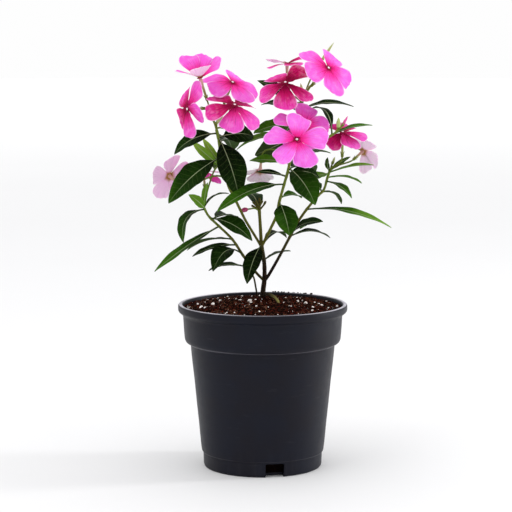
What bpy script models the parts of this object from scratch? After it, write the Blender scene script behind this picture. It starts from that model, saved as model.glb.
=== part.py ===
"""A potted madagascar periwinkle in a plain plastic nursery pot.

Every size is in millimetres until a mesh is made. X runs to the right, Y away from the front and
Z up. The pot's axis is X = Y = 0, and it stands on Z = 0.
"""

import math
import random
from collections import namedtuple

import bpy
from mathutils import Vector, noise

MM = 0.001
GAP = 0.3
SHARP_EDGE = math.radians(50)
CURVE_STEPS = 40
UP = Vector((0, 0, 1))
FRONT = Vector((0, -1, 0))

# Pot: the rim's outer diameter sets the size of everything else
RIM_RADIUS = 65.0
POT_HEIGHT = 126.0
LIP_DEPTH = 5.6
COLLAR_RADIUS = 61.2
COLLAR_FOOT = 93.9
BODY_TOP_RADIUS = 55.2
FOOT_RADIUS = 45.6
FOOT_STEP = 9.4
WALL = 1.4
FLOOR = 2.2
LIP_WIDTH = 3.6
POT_SIDES = 42

NOTCH_COUNT = 3
NOTCH_WIDTH = 14.2
NOTCH_HEIGHT = 8.5
NOTCH_REACH = (38.5, 52.0)
FIRST_NOTCH = math.radians(-78.5)

# The body's slight taper, as (radius, height)
BODY_PROFILE = ((52.5, 66), (49.3, 34))

# Potting mix: its height at the wall and in the middle, and where its mound stands
SOIL_EDGE = 120.5
SOIL_MOUND = 8.0
MOUND_CENTRE = (0, 14)
SOIL_RINGS = 12
SOIL_SIDES = 36
CRUMB_HEIGHT = 0.9
CRUMB_SIZES = (0.22, 0.55)
POINT_WANDER = 0.7
SOIL_CLEARANCE = 0.5

# What stands in the mix stands in a round hole: its place and its radius
HOLES = (((0, 20), 2.9), ((-4.5, 26.5), 1.5), ((12.2, -8.4), 2.2))
HOLE_FLOOR = 113.6
HOLE_SIDES = 12

# Foliage and petals
LEAF_THICKNESS = 0.8
LEAF_FOLD = 0.3
LEAF_WAVE = 0.09
LEAF_ROWS = (0.0, 0.18, 0.4, 0.64, 0.86, 1.0)
LEAF_LEAN = 0.92
LEAF_FULLNESS = 0.8
STALK_HALF_WIDTH = 0.65
STEM_SIDES = 6
STEM_SPACING = 9
SMALL_SIDES = 5

# A petal: its claw, half width and widest place, how its tip narrows, rounds and slants, and how it
# arches back, as shares of its length, millimetres or degrees
PETAL_THICKNESS = 0.65
PETAL_ROWS = (0.0, 0.34, 0.68, 0.89, 1.0)
PETAL_CLAW = 0.9
PETAL_HALF_WIDTH = 0.355
PETAL_WIDEST = 0.8
PETAL_NARROWING = 0.6
PETAL_ROUNDING = 0.14
PETAL_SLANT = 0.06
PETAL_ARCH = 7
PETAL_COUNT = 5
MOUTH_RISE = 0.6
THROAT_RADIUS = 1.5
TUBE_FOOT_RADIUS = 0.95
FLOWER_STALK_RADIUS = 0.7
STALK_STEPS = 5
CALYX_RADIUS = 1.35
CALYX_DEPTH = 2.5
SEED = 7

Stem = namedtuple("Stem", "parent split radius tip_radius points")
Leaf = namedtuple("Leaf", "stem at tip width face arch sweep stalk")
Leaf.__new__.__defaults__ = (4, 0, 0.12)
Bloom = namedtuple("Bloom", "name stem at centre facing roll reach tube claw lifts turns twists")
Bloom.__new__.__defaults__ = ((-6,), (0,), (7,))
Bud = namedtuple("Bud", "stem at tip girth length")

# Each stem starts on its parent's axis, and its own solid starts `split` millimetres along it
STEMS = {
    "trunk": Stem(None, 0, 2.4, 1.6, [
        (0, 20, 114), (0, 20, 128), (0.7, 19, 136), (1.5, 18, 143), (1.5, 17, 150), (1.3, 16, 155)]),
    "centre_stem": Stem("trunk", 0, 1.55, 1.2, [
        (1.3, 16, 155), (0.3, 15, 163), (-1, 14, 170), (-1.7, 16, 182), (-2.6, 20, 196)]),
    "right_stem": Stem("trunk", 9, 1.25, 0.9, [
        (1.5, 18, 141), (5, 18, 146), (13, 19, 160), (21, 20, 175), (26, 18, 185), (34, 16, 197),
        (43.5, 18, 208), (47.5, 20, 212), (50, 20, 221), (52, 20, 227)]),
    "front_stem": Stem("centre_stem", 8, 1.15, 0.95, [
        (-1, 14, 168), (1, 13, 172), (5.5, 6, 182), (10.5, -2, 194), (12.5, -8, 205),
        (17, -14, 222), (19.5, -14, 231), (22, -5, 244), (26, 6, 260), (30, 12, 278)]),
    "left_stem": Stem("centre_stem", 9, 1.0, 1.15, [
        (-0.6, 14.5, 167), (-3.5, 14, 172.5), (-9, 10, 182), (-14, 6, 191), (-22, 2, 208),
        (-26, 0, 216), (-29.5, -4, 229), (-32, -7, 240), (-33, -9, 251), (-35, -10, 260)]),
    "low_left_stem": Stem("trunk", 8, 1.1, 0.9, [
        (1.5, 18, 140), (-0.5, 17, 143), (-5, 14, 148), (-14.5, 10, 161), (-23.5, 6, 175),
        (-36, 0, 188), (-41.5, -3, 194), (-45, -6, 201)]),
    "shoot": Stem(None, 0, 0.8, 0.65, [
        (-4.5, 27, 114), (-4.5, 26, 128), (-5.5, 25, 136), (-7, 24, 143), (-10.6, 24, 149),
        (-15.3, 24, 152)]),
}

LEAVES = [
    Leaf("left_stem", 0.79, (-71, -20, 205), 20, (-1, -3, 2), 6),
    Leaf("left_stem", 0.91, (-18, -23, 210), 22, (1, -3, 1), 5),
    Leaf("left_stem", 0.97, (-67, -6, 241), 13, (-1, -2, 4), 6),
    Leaf("left_stem", 0.94, (-7, 2, 254), 17, (1, -3, 2), 5),
    Leaf("left_stem", 0.80, (-38, 46, 226), 18, (0, 1, 3), 6),
    Leaf("left_stem", 0.90, (-24, 44, 240), 17, (1, 1, 3), 6),
    Leaf("left_stem", 0.70, (-54, 8, 250), 7, (-2, -3, 1), 2),
    Leaf("left_stem", 0.70, (-46, 14, 252), 6, (-1, -3, 1), 1),
    Leaf("left_stem", 0.46, (-20, 44, 208), 15, (1, 1, 3), 6),
    Leaf("low_left_stem", 0.97, (-60, -18, 175), 15, (-3, -2, 2), 9),
    Leaf("low_left_stem", 0.97, (-56, -14, 211), 8, (0, -3, 2), 2),
    Leaf("low_left_stem", 0.98, (-42, 0, 219), 7, (-2, -2, 1), 1),
    Leaf("low_left_stem", 0.99, (-26, 8, 210), 6, (0, 1, 4), 4),
    Leaf("low_left_stem", 0.86, (-8, -6, 175), 16, (1, -3, 4), 5),
    Leaf("low_left_stem", 0.74, (-82, -18, 153), 10, (-1, -2, 4), 2),
    Leaf("low_left_stem", 0.55, (-59, 26, 164), 9, (-1, 1, 5), 4),
    Leaf("low_left_stem", 0.48, (-54, 2, 162), 9, (-1, -2, 5), 3),
    Leaf("low_left_stem", 0.36, (-38, -10, 152), 18, (-1, -2, 3), 11, 0, 0.3),
    Leaf("low_left_stem", 0.84, (-20, 38, 184), 15, (1, 1, 3), 5),
    Leaf("centre_stem", 0.35, (-12, -13, 143), 14, (-1, -3, 1), 4),
    Leaf("centre_stem", 0.06, (22, 38, 162), 8, (0, 1, 3), 2),
    Leaf("centre_stem", 0.30, (19, 44, 172), 9, (0, 0, 1), 8),
    Leaf("centre_stem", 0.96, (-14, 56, 205), 14, (0, 1, 3), 6),
    Leaf("right_stem", 0.41, (46, 2, 189), 12, (0, -2, 3), 4),
    Leaf("right_stem", 0.39, (53, 34, 173), 9, (1, 0, 4), 5),
    Leaf("right_stem", 0.64, (98, -4, 185), 9, (1, -2, 5), 6),
    Leaf("right_stem", 0.97, (34, 4, 221), 10, (0, -2, 3), 1),
    Leaf("right_stem", 0.98, (85, 8, 232), 8, (0, -1, 5), 2),
    Leaf("right_stem", 0.94, (78, 44, 215), 8, (1, 1, 4), 3),
    Leaf("right_stem", 0.91, (68, 2, 207), 9, (1, -1, 3), 3),
    Leaf("right_stem", 0.82, (62, 40, 199), 8, (1, 0, 4), 4),
    Leaf("right_stem", 0.82, (37, 40, 214), 9, (-1, 1, 4), 3),
    Leaf("right_stem", 0.45, (30, 52, 178), 14, (1, 1, 3), 5),
    Leaf("right_stem", 0.99, (50, 18, 237), 5, (-2, -2, 1), 1),
    Leaf("right_stem", 0.99, (68, 26, 237), 5, (-1, -2, 2), 1),
    Leaf("front_stem", 0.47, (-34, -44, 201), 15, (-1, -2, 3), 6),
    Leaf("front_stem", 0.35, (20, -24, 181), 19, (1, -3, 1), 3),
    Leaf("front_stem", 0.57, (39, -34, 205), 21, (1, -3, 2), 5),
    Leaf("front_stem", 0.38, (30, 14, 206), 9, (1, -1, 4), 3),
    Leaf("front_stem", 0.60, (-10, -4, 236), 11, (-1, -2, 4), 2),
    Leaf("front_stem", 0.86, (-7, -8, 257), 15, (-1, -3, 4), 4),
    Leaf("front_stem", 0.80, (-6, 14, 239), 19, (-1, 2, -1), 3),
    Leaf("front_stem", 0.62, (52, 10, 241), 10, (0, -1, 4), 4),
    Leaf("front_stem", 0.97, (-4, 18, 296), 11, (-1, -1, 4), 4),
    Leaf("front_stem", 0.95, (-1, 30, 277), 11, (-1, 0, 4), 4),
    Leaf("front_stem", 0.97, (70, 22, 276), 9, (0, 0, 1), 4),
    Leaf("front_stem", 0.56, (40, 40, 222), 17, (1, 1, 3), 6),
    Leaf("front_stem", 0.84, (16, 50, 250), 16, (0, 1, 3), 6),
    Leaf("front_stem", 0.78, (-20, 2, 244), 12, (-1, -1, 4), 6),
    Leaf("front_stem", 0.54, (43, -6, 223), 13, (1, -2, 3), 4),
    Leaf("front_stem", 0.52, (-5, 2, 227), 5, (0, -1, 1), 2),
    Leaf("shoot", 0.98, (-42, 18, 149), 8, (0, -1, 4), 3),
    Leaf("twig", 0.96, (37, 8, 275), 8, (1, -1, 3), 9),
    Leaf("twig", 0.98, (83, -4, 263), 8, (0, -1, 5), 2),
]

# A side twig of the front stem, hidden by the large front bloom, and the surface root
TWIG_FOOT = 0.74
TWIG = Stem("front_stem", 0, 0.9, 0.8, [(31, -6, 248), (42, -14, 250), (53, -16, 257)])
ROOT = [
    (1, 19, 130), (4.5, 12, 131.5), (8.5, 3, 130.8), (11.2, -5, 129.2), (12.2, -8.4, 126.5),
    (12.3, -9, 121),
]
ROOT_RADII = (1.5, 0.8)

# The claw's power narrows the petals near the eye. Each petal in turn has a lift towards the bloom's
# axis, a turn from its even place round it, and a twist about its own length, in degrees
BLOOMS = [
    Bloom("bloom_left_top", "left_stem", 1.0, (-47, -16, 299), (-0.3, -0.3, 1), -27, 20.5, 16, 1.2,
          (43, 60, 42, 44, 30), (0, -18, -12, 4, 12), (8, 0, 7, -5, 14)),
    Bloom("bloom_left_upper", "left_stem", 1.0, (-23, -3, 295), (0.4, -0.65, 1), 3, 23, 18, 1.1,
          (-10, -16, 0, 5, -8), (-4, 0, 0, 3, -3), (6, -4, 4, 0, 2)),
    Bloom("bloom_left_front", "left_stem", 1.0, (-21, -29, 279), (0.16, -0.54, 1), 40, 24, 16, 1.6,
          (-5, -6, -19, -26, -15), (8, 10, -4, -4, 4), (4, -4, 8, 0, 0)),
    Bloom("bloom_left_low", "left_stem", 1.0, (-56, -22, 276), (-1, -0.8, 0), 28, 22, 14, 1.6,
          (-9, 10, 14, -2, -18), (3, 6, 0, -8, 8), (-6, 2, 30, -10, 8)),
    Bloom("bloom_right_top", "front_stem", 1.0, (49, -12, 306), (0.9, -0.95, 1), 11, 23.5, 20, 1.2,
          (-3, -8, 2, 3, -3), (-3, 6, 1, -4, -1), (-3, 2, 0, 0, 10)),
    Bloom("bloom_right_back", "front_stem", 1.0, (19, 26, 309), (0.05, 0, 1), 55, 18.5, 15, 1.4,
          (9, -7, 3, 26, 4), (-10, 0, 0, 6, 0)),
    Bloom("bloom_right_inner", "front_stem", 1.0, (17, -8, 295), (-0.1, -0.65, 1), 28, 23, 16, 1.5,
          (-11, -15, -20, -25, 6), (-4, 5, 2, -3, 0), (-4, -4, -2, -12, 10)),
    Bloom("bloom_front", "front_stem", 0.71, (25, -42, 254), (0, -1, 0.95), -3, 23.5, 18, 1.05,
          (9, 7, -1, -8, 1), (-2, 9, 2, -12, -7), (6, 4, 12, -3, 9)),
    Bloom("bloom_front_behind", "front_stem", 0.84, (30, -12, 263), (0, -0.93, 1), -2, 22, 12, 1.2,
          (7, 20, -6, -6, -9), (-8, 12, 0, 0, 2), (10, 10, 7, 7, 9)),
    Bloom("bloom_far_right", "right_stem", 1.0, (61, 4, 257), (0, -0.4, 1), 56, 19, 18, 1.4,
          (5, -13, -10, -7, 0), (-16, 18, 3, -8, 0), (7, -10, -8, 0, 7)),
    Bloom("bloom_right_pale", "right_stem", 1.0, (78, 31, 241), (0.75, 1, 0.55), 11, 17, 12, 1.1,
          (50, -25, -10, -9, -7), (-10, 15, 10, 10, -4), (7, 7, 18, 2, 8)),
    Bloom("bloom_left_pale", "left_stem", 0.62, (-73, 28, 222), (-0.55, 0.75, 0.35), 20, 19, 14, 1.2),
    Bloom("bloom_middle_left", "left_stem", 0.72, (-46, 24, 226), (-0.1, 0.1, 1), 30, 16, 12, 1.2, (0,)),
    Bloom("bloom_middle", "front_stem", 0.64, (-2, 20, 227), (-0.1, 0.45, -0.85), 0, 12, 10, 1.0, (10,)),
]

BUDS = [
    Bud("left_stem", 1.0, (-30, -14, 270), 1.1, 8),
    Bud("left_stem", 1.0, (-41, -2, 271), 1.0, 7),
    Bud("front_stem", 1.0, (54, 10, 325), 1.3, 17),
    Bud("front_stem", 1.0, (29, 14, 294), 1.2, 8),
    Bud("front_stem", 1.0, (36, 2, 293), 1.2, 8),
    Bud("twig", 1.0, (57, -13, 269), 1.6, 8),
    Bud("twig", 1.0, (64, -10, 270), 1.0, 9),
    Bud("right_stem", 1.0, (56, 24, 237), 0.9, 6),
]

# Old flower stalks left on the centre stem, as directions from its top
SPENT_RADII = (0.8, 0.7, 1.0)
SPENT_STALKS = [(-6, -2, 8), (-3, -4, 9), (0, 3, 11), (3, -2, 9), (6, 2, 8), (-7, 3, 4)]

COLOURS = {
    "pot_plastic": ((0.016, 0.016, 0.020), 0.42),
    "potting_mix": ((0.045, 0.022, 0.018), 0.95),
    "bark": ((0.10, 0.055, 0.025), 0.8),
    "leaf_green": ((0.035, 0.11, 0.025), 0.45),
    "petal_pink": ((0.85, 0.10, 0.42), 0.6),
    "petal_pale": ((0.80, 0.55, 0.70), 0.6),
}


def clear_scene():
    for obj in list(bpy.data.objects):
        bpy.data.objects.remove(obj, do_unlink=True)


def material(name):
    found = bpy.data.materials.get(name)
    if found:
        return found
    colour, roughness = COLOURS[name]
    made = bpy.data.materials.new(name)
    made.use_nodes = True
    shader = made.node_tree.nodes["Principled BSDF"]
    shader.inputs["Base Color"].default_value = (*colour, 1)
    shader.inputs["Roughness"].default_value = roughness
    shader.inputs["Metallic"].default_value = 0
    return made


def new_object(name, points, faces, finish):
    """A closed mesh object from points in millimetres."""
    mesh = bpy.data.meshes.new(name)
    mesh.from_pydata([Vector(p) * MM for p in points], [], faces)
    mesh.materials.append(material(finish))
    mesh.shade_smooth()
    mesh.set_sharp_from_angle(angle=SHARP_EDGE)
    obj = bpy.data.objects.new(name, mesh)
    bpy.context.scene.collection.objects.link(obj)
    return obj


def applied(obj):
    """Replace an object's mesh by what its modifiers make of it."""
    graph = bpy.context.evaluated_depsgraph_get()
    made = bpy.data.meshes.new_from_object(obj.evaluated_get(graph))
    obj.modifiers.clear()
    obj.data = made
    made.name = obj.name


def fuse(name, pieces, solver="EXACT"):
    """One solid from a list of overlapping pieces."""
    base, rest = pieces[0], pieces[1:]
    base.name = name
    helpers = bpy.data.collections.new(name + "_pieces")
    for piece in rest:
        helpers.objects.link(piece)
    union = base.modifiers.new("union", "BOOLEAN")
    union.operation = "UNION"
    union.solver = solver
    union.operand_type = "COLLECTION"
    union.collection = helpers
    applied(base)
    for piece in rest:
        bpy.data.objects.remove(piece, do_unlink=True)
    bpy.data.collections.remove(helpers)
    return base


def cut(obj, cutter):
    difference = obj.modifiers.new("cut", "BOOLEAN")
    difference.operation = "DIFFERENCE"
    difference.solver = "EXACT"
    difference.object = cutter
    applied(obj)
    bpy.data.objects.remove(cutter, do_unlink=True)


def curve_through(points, steps):
    """Evenly spaced points on a smooth curve through the given ones."""
    knots = [Vector(p) for p in points]
    knots = [2 * knots[0] - knots[1], *knots, 2 * knots[-1] - knots[-2]]
    fine = []
    for a, b, c, d in zip(knots, knots[1:], knots[2:], knots[3:]):
        for i in range(12):
            t = i / 12
            fine.append(0.5 * (2 * b + (c - a) * t + (2 * a - 5 * b + 4 * c - d) * t ** 2
                               + (3 * b - a - 3 * c + d) * t ** 3))
    fine.append(knots[-2])
    run = [0.0]
    for p, q in zip(fine, fine[1:]):
        run.append(run[-1] + (q - p).length)
    even = []
    k = 0
    for i in range(steps + 1):
        want = run[-1] * i / steps
        while k < len(run) - 2 and run[k + 1] < want:
            k += 1
        share = (want - run[k]) / max(run[k + 1] - run[k], 1e-9)
        even.append(fine[k].lerp(fine[k + 1], share))
    return even


def length_of(path):
    return sum((q - p).length for p, q in zip(path, path[1:]))


def point_at(path, share):
    """The place and the direction of travel a share of the way along an even path."""
    along = min(max(share, 0), 1) * (len(path) - 1)
    k = min(int(along), len(path) - 2)
    return path[k].lerp(path[k + 1], along - k), (path[k + 1] - path[k]).normalized()


def across(direction, wish):
    """The unit vector nearest to `wish` that is square to `direction`."""
    square = wish - direction * wish.dot(direction)
    if square.length < 1e-4:
        square = direction.orthogonal()
    return square.normalized()


def tube(name, path, radii, finish, sides=STEM_SIDES):
    """A round stem along a path, with flat ends."""
    points = []
    side = across((path[1] - path[0]).normalized(), FRONT)
    for i, place in enumerate(path):
        before, after = path[max(i - 1, 0)], path[min(i + 1, len(path) - 1)]
        heading = (after - before).normalized()
        side = across(heading, side)
        other = heading.cross(side)
        for k in range(sides):
            turn = 2 * math.pi * k / sides
            points.append(place + radii[i] * (side * math.cos(turn) + other * math.sin(turn)))
    faces = [tuple(range(sides))[::-1]]
    for i in range(len(path) - 1):
        for k in range(sides):
            here, there = i * sides, (i + 1) * sides
            nxt = (k + 1) % sides
            faces.append((here + k, here + nxt, there + nxt, there + k))
    faces.append(tuple(range(len(points) - sides, len(points))))
    return new_object(name, points, faces, finish)


def tapered(start, end, count):
    return [start + (end - start) * i / (count - 1) for i in range(count)]


def blade(name, rows, thickness, finish):
    """A thin closed blade. Each row is (left, middle, right, normal) and has the same thickness."""
    points = []
    for left, middle, right, normal in rows:
        half = normal * thickness / 2
        points += [left + half, middle + half, right + half, right - half, middle - half, left - half]
    faces = [(0, 5, 4, 1), (1, 4, 3, 2)]
    for i in range(len(rows) - 1):
        a, b = 6 * i, 6 * (i + 1)
        # The upper and the lower face are split along the same diagonals
        faces += [(a, a + 1, b + 1), (a, b + 1, b), (a + 1, a + 2, b + 1), (a + 2, b + 2, b + 1)]
        faces += [(a + 5, b + 4, a + 4), (a + 5, b + 5, b + 4)]
        faces += [(a + 4, b + 4, a + 3), (a + 3, b + 4, b + 3)]
        faces += [(a + 2, a + 3, b + 3, b + 2), (a + 5, a, b, b + 5)]
    e = 6 * (len(rows) - 1)
    faces += [(e, e + 1, e + 4, e + 5), (e + 1, e + 2, e + 3, e + 4)]
    return new_object(name, points, faces, finish)


def leaf_half_width(leaf, u):
    """Half the leaf's width a share u of the way from its foot to its tip."""
    if u <= leaf.stalk:
        return STALK_HALF_WIDTH
    t = (u - leaf.stalk) / (1 - leaf.stalk)
    swell = math.sin(math.pi * t ** LEAF_LEAN) ** LEAF_FULLNESS
    return max(leaf.width / 2 * swell, STALK_HALF_WIDTH * (1 - 0.4 * t))


def leaf_row(leaf, foot, u):
    """The leaf's left edge, midrib and right edge at u, and its upward normal there."""
    tip = Vector(leaf.tip)
    chord = (tip - foot).normalized()
    normal = across(chord, Vector(leaf.face))
    bend = foot.lerp(tip, 0.5) + 2 * (leaf.arch * normal + leaf.sweep * normal.cross(chord))
    middle = foot * (1 - u) ** 2 + bend * 2 * u * (1 - u) + tip * u ** 2
    heading = ((bend - foot) * (1 - u) + (tip - bend) * u).normalized()
    normal = across(heading, Vector(leaf.face))
    side = normal.cross(heading)
    half = leaf_half_width(leaf, u)
    wave = LEAF_WAVE * half * math.sin(9 * u + leaf.width)
    edges = []
    for hand in (1, -1):
        edges.append(middle + hand * half * side + normal * (LEAF_FOLD * half + hand * wave))
    return edges[0], middle, edges[1], normal


def leaf_rows(leaf, foot):
    shares = [leaf.stalk + (1 - leaf.stalk) * r for r in LEAF_ROWS]
    return [leaf_row(leaf, foot, u) for u in [0.0, *shares]]


def petal_axes(bloom, k):
    """The bloom's outward axis, and petal k's own direction and side."""
    outward = Vector(bloom.facing).normalized()
    backward = across(outward, Vector((0, 1, 0)))
    turn = math.radians(bloom.roll + 360 / PETAL_COUNT * k + bloom.turns[k % len(bloom.turns)])
    direction = backward * math.cos(turn) + outward.cross(backward) * math.sin(turn)
    return outward, direction, outward.cross(direction)


def petal_half_width(bloom, u):
    swell = math.sin(math.pi / 2 * min(u / PETAL_WIDEST, 1)) ** bloom.claw
    past = max(u - PETAL_WIDEST, 0) / (1 - PETAL_WIDEST)
    return PETAL_CLAW + PETAL_HALF_WIDTH * bloom.reach * swell * (1 - PETAL_NARROWING * past ** 2)


def petal_row(bloom, k, u):
    outward, direction, side = petal_axes(bloom, k)
    lift = math.radians(bloom.lifts[k % len(bloom.lifts)] - PETAL_ARCH * u)
    half = petal_half_width(bloom, u)
    twist = math.radians(bloom.twists[k % len(bloom.twists)])
    tilt = outward * math.sin(twist) + side * math.cos(twist)
    row = []
    for v in (1, 0, -1):
        far = bloom.reach * (u - PETAL_ROUNDING * u ** 4 * v * v + PETAL_SLANT * u * u * v) + MOUTH_RISE
        place = Vector(bloom.centre) + direction * far * math.cos(lift) + outward * far * math.sin(lift)
        row.append(place + tilt * half * v)
    return row[0], row[1], row[2], outward


def bloom_solid(bloom):
    """Five petals on a slender tube that swells towards its mouth."""
    outward = Vector(bloom.facing).normalized()
    centre = Vector(bloom.centre)
    finish = "petal_pale" if "pale" in bloom.name else "petal_pink"
    mouth = centre + outward * MOUTH_RISE
    foot = centre - outward * bloom.tube
    path = [foot, foot.lerp(mouth, 0.6), foot.lerp(mouth, 0.88), mouth]
    radii = [TUBE_FOOT_RADIUS, TUBE_FOOT_RADIUS + 0.1, THROAT_RADIUS, THROAT_RADIUS + 0.5]
    pieces = [tube("throat", path, radii, finish)]
    for k in range(PETAL_COUNT):
        rows = [petal_row(bloom, k, u) for u in PETAL_ROWS]
        pieces.append(blade("petal", rows, PETAL_THICKNESS, finish))
    # EXACT leaves loose scraps where the petals meet in the throat
    return fuse(bloom.name, pieces, "MANIFOLD")


def flower_stalk_path(start, heading, bloom):
    """From the stem to just under the bloom's tube, arriving along the tube."""
    outward = Vector(bloom.facing).normalized()
    seat = Vector(bloom.centre) - outward * (bloom.tube + GAP)
    end = seat - outward * CALYX_DEPTH
    reach = (end - start).length
    leaving = (heading + (end - start) / reach).normalized()
    first = start + leaving * reach * 0.35
    last = end - outward * reach * 0.35
    path = []
    for i in range(STALK_STEPS + 1):
        t = i / STALK_STEPS
        s = 1 - t
        path.append(start * s ** 3 + first * 3 * t * s * s + last * 3 * t * t * s + end * t ** 3)
    return path + [seat]


def flower_stalk(start, heading, bloom):
    path = flower_stalk_path(start, heading, bloom)
    radii = [FLOWER_STALK_RADIUS] * STALK_STEPS + [CALYX_RADIUS * 0.8, CALYX_RADIUS]
    return tube("flower_stalk", path, radii, "leaf_green", SMALL_SIDES)


def bud_solid(start, heading, bud):
    """A closed bud: a thin stalk, then a slender spindle."""
    tip = Vector(bud.tip)
    reach = (tip - start).length
    bend = start + heading * reach * 0.45
    path = [start * (1 - t) ** 2 + bend * 2 * t * (1 - t) + tip * t * t for t in (0, 0.2, 0.4, 0.6)]
    neck = tip + (path[-1] - tip).normalized() * bud.length
    path[-1] = neck
    path += [neck.lerp(tip, 0.35), neck.lerp(tip, 0.7), tip]
    radii = [0.65, 0.62, 0.6, 0.6, bud.girth, bud.girth * 0.9, 0.3]
    return tube("bud", path, radii, "leaf_green", SMALL_SIDES)


def lathe(name, profile, sides, finish):
    """A turned solid. The profile runs from the axis at the top to the axis at the bottom."""
    points = [(0, 0, profile[0][1])]
    for radius, height in profile[1:-1]:
        for k in range(sides):
            turn = 2 * math.pi * (k + 0.5) / sides
            points.append((radius * math.cos(turn), radius * math.sin(turn), height))
    points.append((0, 0, profile[-1][1]))
    last = len(points) - 1
    rings = len(profile) - 2
    faces = []
    for k in range(sides):
        nxt = (k + 1) % sides
        faces.append((0, 1 + k, 1 + nxt))
        for i in range(rings - 1):
            here, there = 1 + i * sides, 1 + (i + 1) * sides
            faces.append((here + k, there + k, there + nxt, here + nxt))
        low = 1 + (rings - 1) * sides
        faces.append((low + k, last, low + nxt))
    return new_object(name, points, faces, finish)


def make_pot():
    mouth = RIM_RADIUS - LIP_WIDTH
    inside = [
        (0, FLOOR), (FOOT_RADIUS - 3, FLOOR), (FOOT_RADIUS - WALL + 0.2, FLOOR + 1.6),
        (BODY_TOP_RADIUS - WALL, COLLAR_FOOT + 0.6), (COLLAR_RADIUS - WALL - 2.2, COLLAR_FOOT + 3),
        (COLLAR_RADIUS - WALL, POT_HEIGHT - LIP_DEPTH - 3), (mouth, POT_HEIGHT - 0.6),
    ]
    outside = [
        (mouth + 0.9, POT_HEIGHT), (RIM_RADIUS - 0.7, POT_HEIGHT), (RIM_RADIUS, POT_HEIGHT - 0.8),
        (RIM_RADIUS, POT_HEIGHT - LIP_DEPTH), (COLLAR_RADIUS, POT_HEIGHT - LIP_DEPTH - 2.8),
        (COLLAR_RADIUS - 1.8, COLLAR_FOOT + 4), (COLLAR_RADIUS - 3.4, COLLAR_FOOT + 0.8),
        (BODY_TOP_RADIUS + 1, COLLAR_FOOT - 0.6), (BODY_TOP_RADIUS - 0.2, COLLAR_FOOT - 3.4),
        *BODY_PROFILE, (FOOT_RADIUS + 1.5, FOOT_STEP + 1.4), (FOOT_RADIUS + 0.4, FOOT_STEP),
        (FOOT_RADIUS, 1.8), (FOOT_RADIUS - 1.2, 0), (0, 0),
    ]
    pot = lathe("pot", inside + outside, POT_SIDES, "pot_plastic")
    inner, outer = NOTCH_REACH
    for i in range(NOTCH_COUNT):
        turn = FIRST_NOTCH + 2 * math.pi * i / NOTCH_COUNT
        outward = Vector((math.cos(turn), math.sin(turn), 0))
        sideways = Vector((-outward.y, outward.x, 0)) * NOTCH_WIDTH / 2
        corners = []
        for height in (-1, NOTCH_HEIGHT):
            for reach, hand in ((inner, -1), (outer, -1), (outer, 1), (inner, 1)):
                corners.append(outward * reach + sideways * hand + UP * height)
        faces = [(3, 2, 1, 0), (4, 5, 6, 7), (0, 1, 5, 4), (1, 2, 6, 5), (2, 3, 7, 6), (3, 0, 4, 7)]
        cut(pot, new_object("notch", corners, faces, "pot_plastic"))
    return pot


def soil_height(x, y, edge):
    """The height of the mix: level at the wall, a mound at the plant, and crumbs all over."""
    radius = math.hypot(x, y)
    fall = (1 - (radius / edge) ** 2) * (1 - 0.25 * (radius / edge) ** 2)
    off_centre = math.hypot(x - MOUND_CENTRE[0], y - MOUND_CENTRE[1]) / edge
    mound = SOIL_MOUND * fall * (1 - 0.35 * off_centre)
    coarse, fine = CRUMB_SIZES
    crumbs = noise.noise(Vector((x, y, 3)) * coarse) + 0.6 * noise.noise(Vector((x, y, 9)) * fine)
    return SOIL_EDGE + mound + CRUMB_HEIGHT * crumbs


def make_soil():
    edge = COLLAR_RADIUS - WALL - SOIL_CLEARANCE
    rng = random.Random(SEED)
    points = [(0, 0, soil_height(0, 0, edge))]
    for i in range(1, SOIL_RINGS + 1):
        radius = edge * i / SOIL_RINGS
        for k in range(SOIL_SIDES):
            turn = 2 * math.pi * (k + 0.5 * (i % 2)) / SOIL_SIDES
            wander = POINT_WANDER if i < SOIL_RINGS else 0
            x = radius * math.cos(turn) + rng.uniform(-wander, wander)
            y = radius * math.sin(turn) + rng.uniform(-wander, wander)
            points.append((x, y, soil_height(x, y, edge)))
    wall = BODY_TOP_RADIUS - WALL - 0.9
    sides = [(edge - 2.6, COLLAR_FOOT + 5), (wall - 0.5, COLLAR_FOOT + 1.5), (wall - 7.2, 20),
             (FOOT_RADIUS - 7, FLOOR + GAP)]
    for radius, height in sides:
        for k in range(SOIL_SIDES):
            turn = 2 * math.pi * (k + 0.5 * (SOIL_RINGS % 2)) / SOIL_SIDES
            points.append((radius * math.cos(turn), radius * math.sin(turn), height))
    points.append((0, 0, FLOOR + GAP))
    last = len(points) - 1
    rings = SOIL_RINGS + len(sides)
    faces = []
    for k in range(SOIL_SIDES):
        nxt = (k + 1) % SOIL_SIDES
        faces.append((0, 1 + k, 1 + nxt))
        for i in range(1, rings):
            here, there = 1 + (i - 1) * SOIL_SIDES, 1 + i * SOIL_SIDES
            shifted = i % 2 and i < SOIL_RINGS
            if shifted:
                faces.append((here + k, there + nxt, here + nxt))
                faces.append((here + k, there + k, there + nxt))
            else:
                faces.append((here + k, there + k, here + nxt))
                faces.append((there + k, there + nxt, here + nxt))
        low = 1 + (rings - 1) * SOIL_SIDES
        faces.append((low + k, last, low + nxt))
    soil = new_object("soil", points, faces, "potting_mix")
    for foot, radius in HOLES:
        top = Vector((*foot, POT_HEIGHT + 2 * SOIL_MOUND))
        bottom = Vector((*foot, HOLE_FLOOR))
        cut(soil, tube("hole", [bottom, top], [radius, radius], "potting_mix", HOLE_SIDES))
    return soil


def stem_paths():
    """Each stem's whole path in millimetres, evenly spaced, its start on its parent's axis."""
    paths = {}
    for name, stem in STEMS.items():
        paths[name] = curve_through(stem.points, CURVE_STEPS)
    start = point_at(paths["front_stem"], TWIG_FOOT)[0]
    paths["twig"] = curve_through([start, *TWIG.points], CURVE_STEPS)
    return paths


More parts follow.
